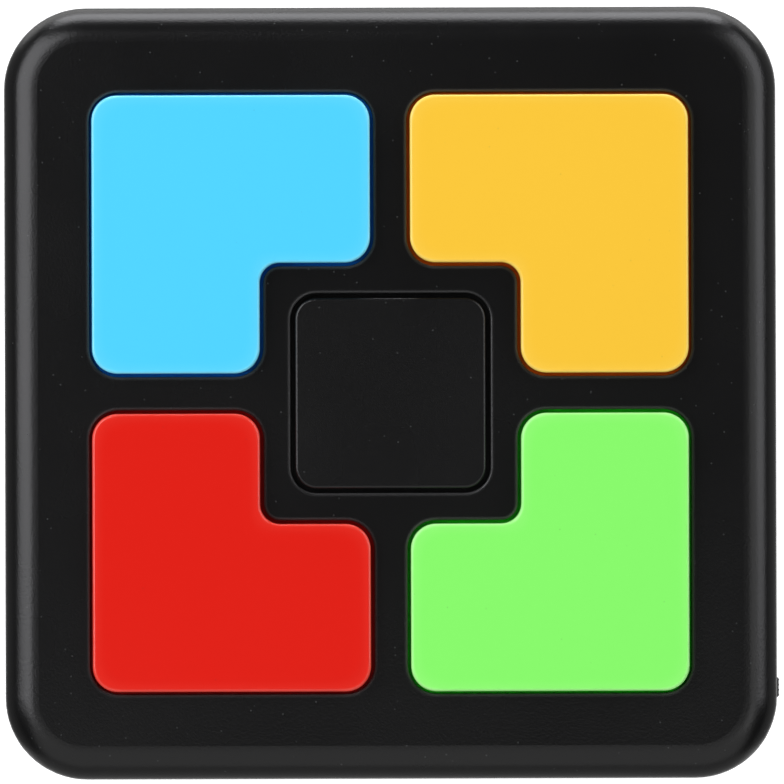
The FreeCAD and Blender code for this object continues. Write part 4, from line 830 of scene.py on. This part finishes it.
def cell_profile(radius, length):
    """The steps along a cell, and the radius at each: flat end, groove, shoulder and nub."""
    can = radius - JACKET_LIP
    top = CELL_LENGTH
    slope_end = top - GROOVE_TOP - GROOVE_SLOPE
    slope_start = slope_end - GROOVE_WIDTH
    flat_end = [(0.0, 0.0), (0.0, 0.62 * radius), (END_DISH, 0.70 * radius), (END_DISH, 0.86 * radius),
                (2 * END_DISH, can - 0.1 * MM), (0.55 * MM, can), (0.6 * MM, radius)]
    groove = [(slope_start - GROOVE_SLOPE, radius), (slope_start, radius - GROOVE_DEPTH),
              (slope_end, radius - GROOVE_DEPTH), (top - GROOVE_TOP, radius)]
    shoulder = [(top - 1.0 * MM, radius), (top - 0.6 * MM, radius - 0.1 * MM),
                (top - 0.5 * MM, can - 0.3 * MM), (top - 0.5 * MM, 0.60 * radius),
                (top - 0.2 * MM, NUB_RADIUS + 0.6 * MM), (top, NUB_RADIUS + 0.1 * MM)]
    nub = [(length - 0.25 * MM, NUB_RADIUS), (length - 0.05 * MM, NUB_RADIUS - 0.2 * MM),
           (length, NUB_RADIUS - 0.4 * MM), (length, 0.0)]
    return flat_end + groove + shoulder + nub


jacket = make_jacket()
for number, nub_end in CELL_NUB_ENDS.items():
    low, high = (Vector(corner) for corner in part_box(f"cell_{number}"))
    middle = (low + high) / 2
    length = high.x - low.x
    start = Vector((low.x if nub_end > 0 else high.x, middle.y, middle.z))
    profile = cell_profile((high.z - low.z) / 2, length)
    cell = turned(f"aaa_cell_{number}", start, Vector((nub_end, 0, 0)), profile, CELL_FACETS)
    finish_piece(cell, jacket, "cell_jacket", "root", f"cell_{number}")

# ---------------------------------------------------------------------------
# Screws: four hold the two shells, four the board and two the battery door.
# Zinc-plated steel with a domed head, a cross recess and a rolled thread. They cut their own
# thread in the plastic bosses. Heads and shanks are given as radius and length in millimetres.
# ---------------------------------------------------------------------------

ZINC_COLOUR = (0.560, 0.555, 0.540, 1)
ZINC_SHADE = (0.300, 0.295, 0.280, 1)
SCREW_SEED = 7
SCREW_FACETS = 32
HEAD_STEPS = 9
HEAD_FALL = 0.8
SHANK_STEPS = 24
TIP_TAPER = 5.5
TIP_SHARE = 0.1
SLOT_REACH = 1.1
SLOT_WIDTH = 0.22
SLOT_PLACE = -1.05
THREAD_RUN = 0.8
THREAD_STEPS = 24
THREAD_SHARE = 0.2
THREAD_CORNERS = 3
SCREW_KINDS = {
    "case_screws": {"body": "root", "head": (2.2, 1.8), "shank": (1.3, 12.0), "pitch": 1.1},
    "board_screws": {"body": "root", "head": (1.9, 1.3), "shank": (0.95, 6.4), "pitch": 0.8},
    "door_screws": {"body": "door_body", "head": (1.7, 1.0), "shank": (0.9, 6.0), "pitch": 0.8},
}


def islands(node):
    """The lowest and highest corners of each separate solid of a CAD node."""
    work = bmesh.new()
    work.from_mesh(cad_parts[node].data)
    bmesh.ops.remove_doubles(work, verts=work.verts, dist=WELD_REACH)
    waiting = set(work.verts)
    boxes = []
    while waiting:
        joined = [waiting.pop()]
        for vertex in joined:
            for edge in vertex.link_edges:
                other = edge.other_vert(vertex)
                if other in waiting:
                    waiting.remove(other)
                    joined.append(other)
        spots = [vertex.co.copy() for vertex in joined]
        boxes.append((Vector([min(spot[i] for spot in spots) for i in range(3)]),
                      Vector([max(spot[i] for spot in spots) for i in range(3)])))
    work.free()
    return sorted(boxes, key=lambda box: tuple(round(value, 5) for value in box[0]))


def build_screw():
    """A screw on each point, head down: domed head, cross recess, tapered core and thread."""
    sizes = ("Head Radius", "Head Height", "Shank Radius", "Length", "Pitch", "Thread Depth")
    group, given, result = new_group(
        "screw",
        [("Geometry", "NodeSocketGeometry", None)] + [(size, "NodeSocketFloat", MM) for size in sizes]
        + [("Seed", "NodeSocketInt", 0), ("Material", "NodeSocketMaterial", None)],
        [("Geometry", "NodeSocketGeometry")], "GeometryNodeTree",
    )
    head_radius, head_height, shank_radius, length, pitch, depth = (given.outputs[size] for size in sizes)

    def lathe(end, steps, radius_at):
        """A solid round the Z axis, from the seat to its end, with a radius for each share of the way."""
        top = add_node(group, "ShaderNodeCombineXYZ", {"Z": end}).outputs["Vector"]
        line = add_node(group, "GeometryNodeCurvePrimitiveLine", {"End": top}).outputs["Curve"]
        stepped = add_node(group, "GeometryNodeResampleCurve", {"Curve": line, "Count": steps})
        share = group.nodes.new("GeometryNodeSplineParameter").outputs["Factor"]
        ring = add_node(group, "GeometryNodeCurvePrimitiveCircle", {"Resolution": SCREW_FACETS})
        solid = add_node(group, "GeometryNodeCurveToMesh", {
            "Curve": stepped.outputs["Curve"], "Profile Curve": ring.outputs["Curve"],
            "Scale": radius_at(share), "Fill Caps": True})
        return solid.outputs["Mesh"]

    def dome(share):
        """A head that rounds in from its full radius to a small flat."""
        fall = calculate(group, "POWER", calculate(group, "MULTIPLY", share, HEAD_FALL), 2.0)
        return calculate(group, "MULTIPLY", head_radius,
                         calculate(group, "SQRT", calculate(group, "SUBTRACT", 1.0, fall)))

    def core(share):
        """A straight core that tapers nearly to a point over its last sixth."""
        taper = calculate(group, "MULTIPLY_ADD", share, -TIP_TAPER, TIP_TAPER + TIP_SHARE)
        return calculate(group, "MULTIPLY", inner, calculate(group, "MINIMUM", taper, 1.0))

    inner = calculate(group, "SUBTRACT", shank_radius, depth)
    head = lathe(calculate(group, "MULTIPLY", head_height, -1.0), HEAD_STEPS, dome)
    shank = lathe(length, SHANK_STEPS, core)
    slots = []
    for reach, width in ((SLOT_REACH, SLOT_WIDTH), (SLOT_WIDTH, SLOT_REACH)):
        size = add_node(group, "ShaderNodeCombineXYZ", {
            "X": calculate(group, "MULTIPLY", head_radius, reach),
            "Y": calculate(group, "MULTIPLY", head_radius, width),
            "Z": head_height}).outputs["Vector"]
        slots.append(add_node(group, "GeometryNodeMeshCube", {"Size": size}).outputs["Mesh"])
    down = calculate(group, "MULTIPLY", head_height, SLOT_PLACE)
    slot_place = add_node(group, "ShaderNodeCombineXYZ", {"Z": down}).outputs["Vector"]
    cross = add_node(group, "GeometryNodeMeshBoolean", {"Mesh 1": head}, operation="DIFFERENCE",
                     solver="EXACT")
    for slot in slots:
        moved = add_node(group, "GeometryNodeTransform", {"Geometry": slot, "Translation": slot_place})
        group.links.new(moved.outputs["Geometry"], cross.inputs["Mesh 2"])
    thread_length = calculate(group, "MULTIPLY", length, THREAD_RUN)
    spiral = add_node(group, "GeometryNodeCurveSpiral", {
        "Resolution": THREAD_STEPS, "Rotations": calculate(group, "DIVIDE", thread_length, pitch),
        "Start Radius": inner, "End Radius": inner, "Height": thread_length})
    wedge = add_node(group, "GeometryNodeCurvePrimitiveCircle", {
        "Resolution": THREAD_CORNERS, "Radius": depth})
    thread = add_node(group, "GeometryNodeCurveToMesh", {
        "Curve": spiral.outputs["Curve"], "Profile Curve": wedge.outputs["Curve"], "Fill Caps": True})
    joined = group.nodes.new("GeometryNodeJoinGeometry")
    for part in (cross.outputs["Mesh"], shank, thread.outputs["Mesh"]):
        group.links.new(part, joined.inputs["Geometry"])
    angle = add_node(group, "FunctionNodeRandomValue", {"Seed": given.outputs["Seed"]}, data_type="FLOAT")
    angle.inputs[3].default_value = 2 * math.pi
    turn = add_node(group, "ShaderNodeCombineXYZ", {"Z": angle.outputs[1]})
    placed = add_node(group, "GeometryNodeInstanceOnPoints", {
        "Points": given.outputs["Geometry"], "Instance": joined.outputs["Geometry"],
        "Rotation": turn.outputs["Vector"]})
    finish_tree(group, given, result, placed)
    return group


zinc = make_metal("screw_steel", ZINC_COLOUR, ZINC_SHADE, roughness=0.33, lay=(1.0, 1.0, 1.0))
screw = build_screw()
for node, kind in SCREW_KINDS.items():
    head_radius, head_height = (size * MM for size in kind["head"])
    shank_radius, length = (size * MM for size in kind["shank"])
    seats = [((low.x + high.x) / 2, (low.y + high.y) / 2, low.z + head_height)
             for low, high in islands(node)]
    piece = grow(node.replace("screws", "screw_set"), screw, seats, Head_Radius=head_radius,
                 Head_Height=head_height, Shank_Radius=shank_radius, Length=length,
                 Pitch=kind["pitch"] * MM, Thread_Depth=THREAD_SHARE * shank_radius, Seed=SCREW_SEED,
                 Material=zinc)
    finish_piece(piece, zinc, "screw_steel", kind["body"], node)

# ---------------------------------------------------------------------------
# Set: a white table, soft lamps round the game and a camera straight above.
# The table glows nearly as brightly as the backdrop, so that no edge shows between them, and is
# clear from below. It neither lights the game nor mirrors in it.
# ---------------------------------------------------------------------------

LAMP_DISTANCE = 0.9
COOL = (0.965, 0.965, 1.0)
TABLE_SIZE = 6.0
TABLE_DROP = 0.05 * MM
TABLE_COLOUR = (0.8, 0.8, 0.8, 1)
TABLE_GLOW = 0.72
BACKDROP_LIGHT = 0.02
WHITE = (1, 1, 1, 1)
game_middle = Vector((0, 0, 20 * MM))


def softbox(name, heading, low, high, spread, radiance, tint=(1, 1, 1)):
    """A lamp that fills a patch of the game's sky, given in degrees.

    Its middle stands at the heading, it reaches from low to high above the horizon, and it is
    as wide as the spread.
    """
    height_angle = math.radians((low + high) / 2)
    level = math.radians(heading)
    outward = Vector((math.cos(level) * math.cos(height_angle),
                      math.sin(level) * math.cos(height_angle), math.sin(height_angle)))
    panel = bpy.data.lights.new(name, "AREA")
    panel.shape = "RECTANGLE"
    panel.color = tint
    panel.size = 2 * LAMP_DISTANCE * math.tan(math.radians(spread / 2))
    panel.size_y = 2 * LAMP_DISTANCE * math.tan(math.radians((high - low) / 2))
    panel.energy = radiance * math.pi * panel.size * panel.size_y
    lamp = bpy.data.objects.new(name, panel)
    lamp.location = game_middle + outward * LAMP_DISTANCE
    lamp.rotation_euler = outward.to_track_quat("Z", "Y").to_euler()
    lamp.visible_camera = False
    bpy.context.collection.objects.link(lamp)


# Heading, low, high and spread in degrees, then radiance and tint.
softbox("left_panel", 157, 17, 65, 54, 3.65, COOL)
softbox("right_panel", 23, 12, 42, 56, 2.65, COOL)
softbox("right_fill", 12, 42, 64, 60, 1.0)
softbox("back_strip", 90, -18, 12, 52, 5.2, COOL)
softbox("back_glow", 90, -52, -18, 90, 1.2)
softbox("front_fill", 270, 14, 78, 90, 0.71)
softbox("left_low", 180, -60, -4, 85, 0.14)
softbox("right_low", 0, -60, -4, 85, 0.21)
softbox("front_low", 270, -60, 12, 85, 0.33)
softbox("under_fill", 0, -120, -60, 60, 0.8)


def make_table_white():
    """A white table that glows, so that shadows on it stay pale, and is clear from below."""
    material = bpy.data.materials.new("table_white")
    material.use_nodes = True
    tree = material.node_tree
    tree.nodes.clear()
    white = add_node(tree, "ShaderNodeBsdfDiffuse", {"Color": TABLE_COLOUR})
    glow = add_node(tree, "ShaderNodeEmission", {"Color": WHITE, "Strength": TABLE_GLOW})
    top = add_node(tree, "ShaderNodeAddShader", {0: white.outputs[0], 1: glow.outputs[0]})
    below = tree.nodes.new("ShaderNodeBsdfTransparent")
    side = tree.nodes.new("ShaderNodeNewGeometry").outputs["Backfacing"]
    both = add_node(tree, "ShaderNodeMixShader", {0: side, 1: top.outputs[0], 2: below.outputs[0]})
    out = tree.nodes.new("ShaderNodeOutputMaterial")
    tree.links.new(both.outputs[0], out.inputs["Surface"])
    return material


bpy.ops.mesh.primitive_plane_add(size=TABLE_SIZE, location=(0, 0, -TABLE_DROP))
table = bpy.context.object
table.name = "table"
table.data.materials.append(make_table_white())
table.visible_diffuse = False
table.visible_glossy = False
table.visible_shadow = False

world = bpy.data.worlds.new("studio")
bpy.context.scene.world = world
world.use_nodes = True
backdrop = world.node_tree
around = backdrop.nodes["Background"]
seen = backdrop.nodes.new("ShaderNodeLightPath").outputs["Is Camera Ray"]
brightness = add_node(backdrop, "ShaderNodeMapRange", {"Value": seen, "To Min": BACKDROP_LIGHT})
fill_socket(backdrop, around.inputs["Color"], WHITE)
fill_socket(backdrop, around.inputs["Strength"], brightness.outputs["Result"])
bpy.context.scene.view_settings.view_transform = "Standard"

SENSOR = 36.0
VIEW_DISTANCE = 0.6
VIEW_WIDTH = 96.57 * MM
VIEW_TURN = math.radians(-0.17)
FRAME_RIGHT = 0.0020
FRAME_UP = 0.0014
FRONT_EDGE_RADIUS = 4.4 * MM
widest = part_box("front_case")[1][2] - FRONT_EDGE_RADIUS
eye = bpy.data.cameras.new("camera")
eye.sensor_width = SENSOR
eye.lens = SENSOR * VIEW_DISTANCE / VIEW_WIDTH
eye.shift_x = FRAME_RIGHT
eye.shift_y = FRAME_UP
camera = bpy.data.objects.new("camera", eye)
camera.location = (0, 0, VIEW_DISTANCE + widest)
camera.rotation_euler = (0, 0, VIEW_TURN)
bpy.context.collection.objects.link(camera)
bpy.context.scene.camera = camera

bpy.context.view_layer.update()
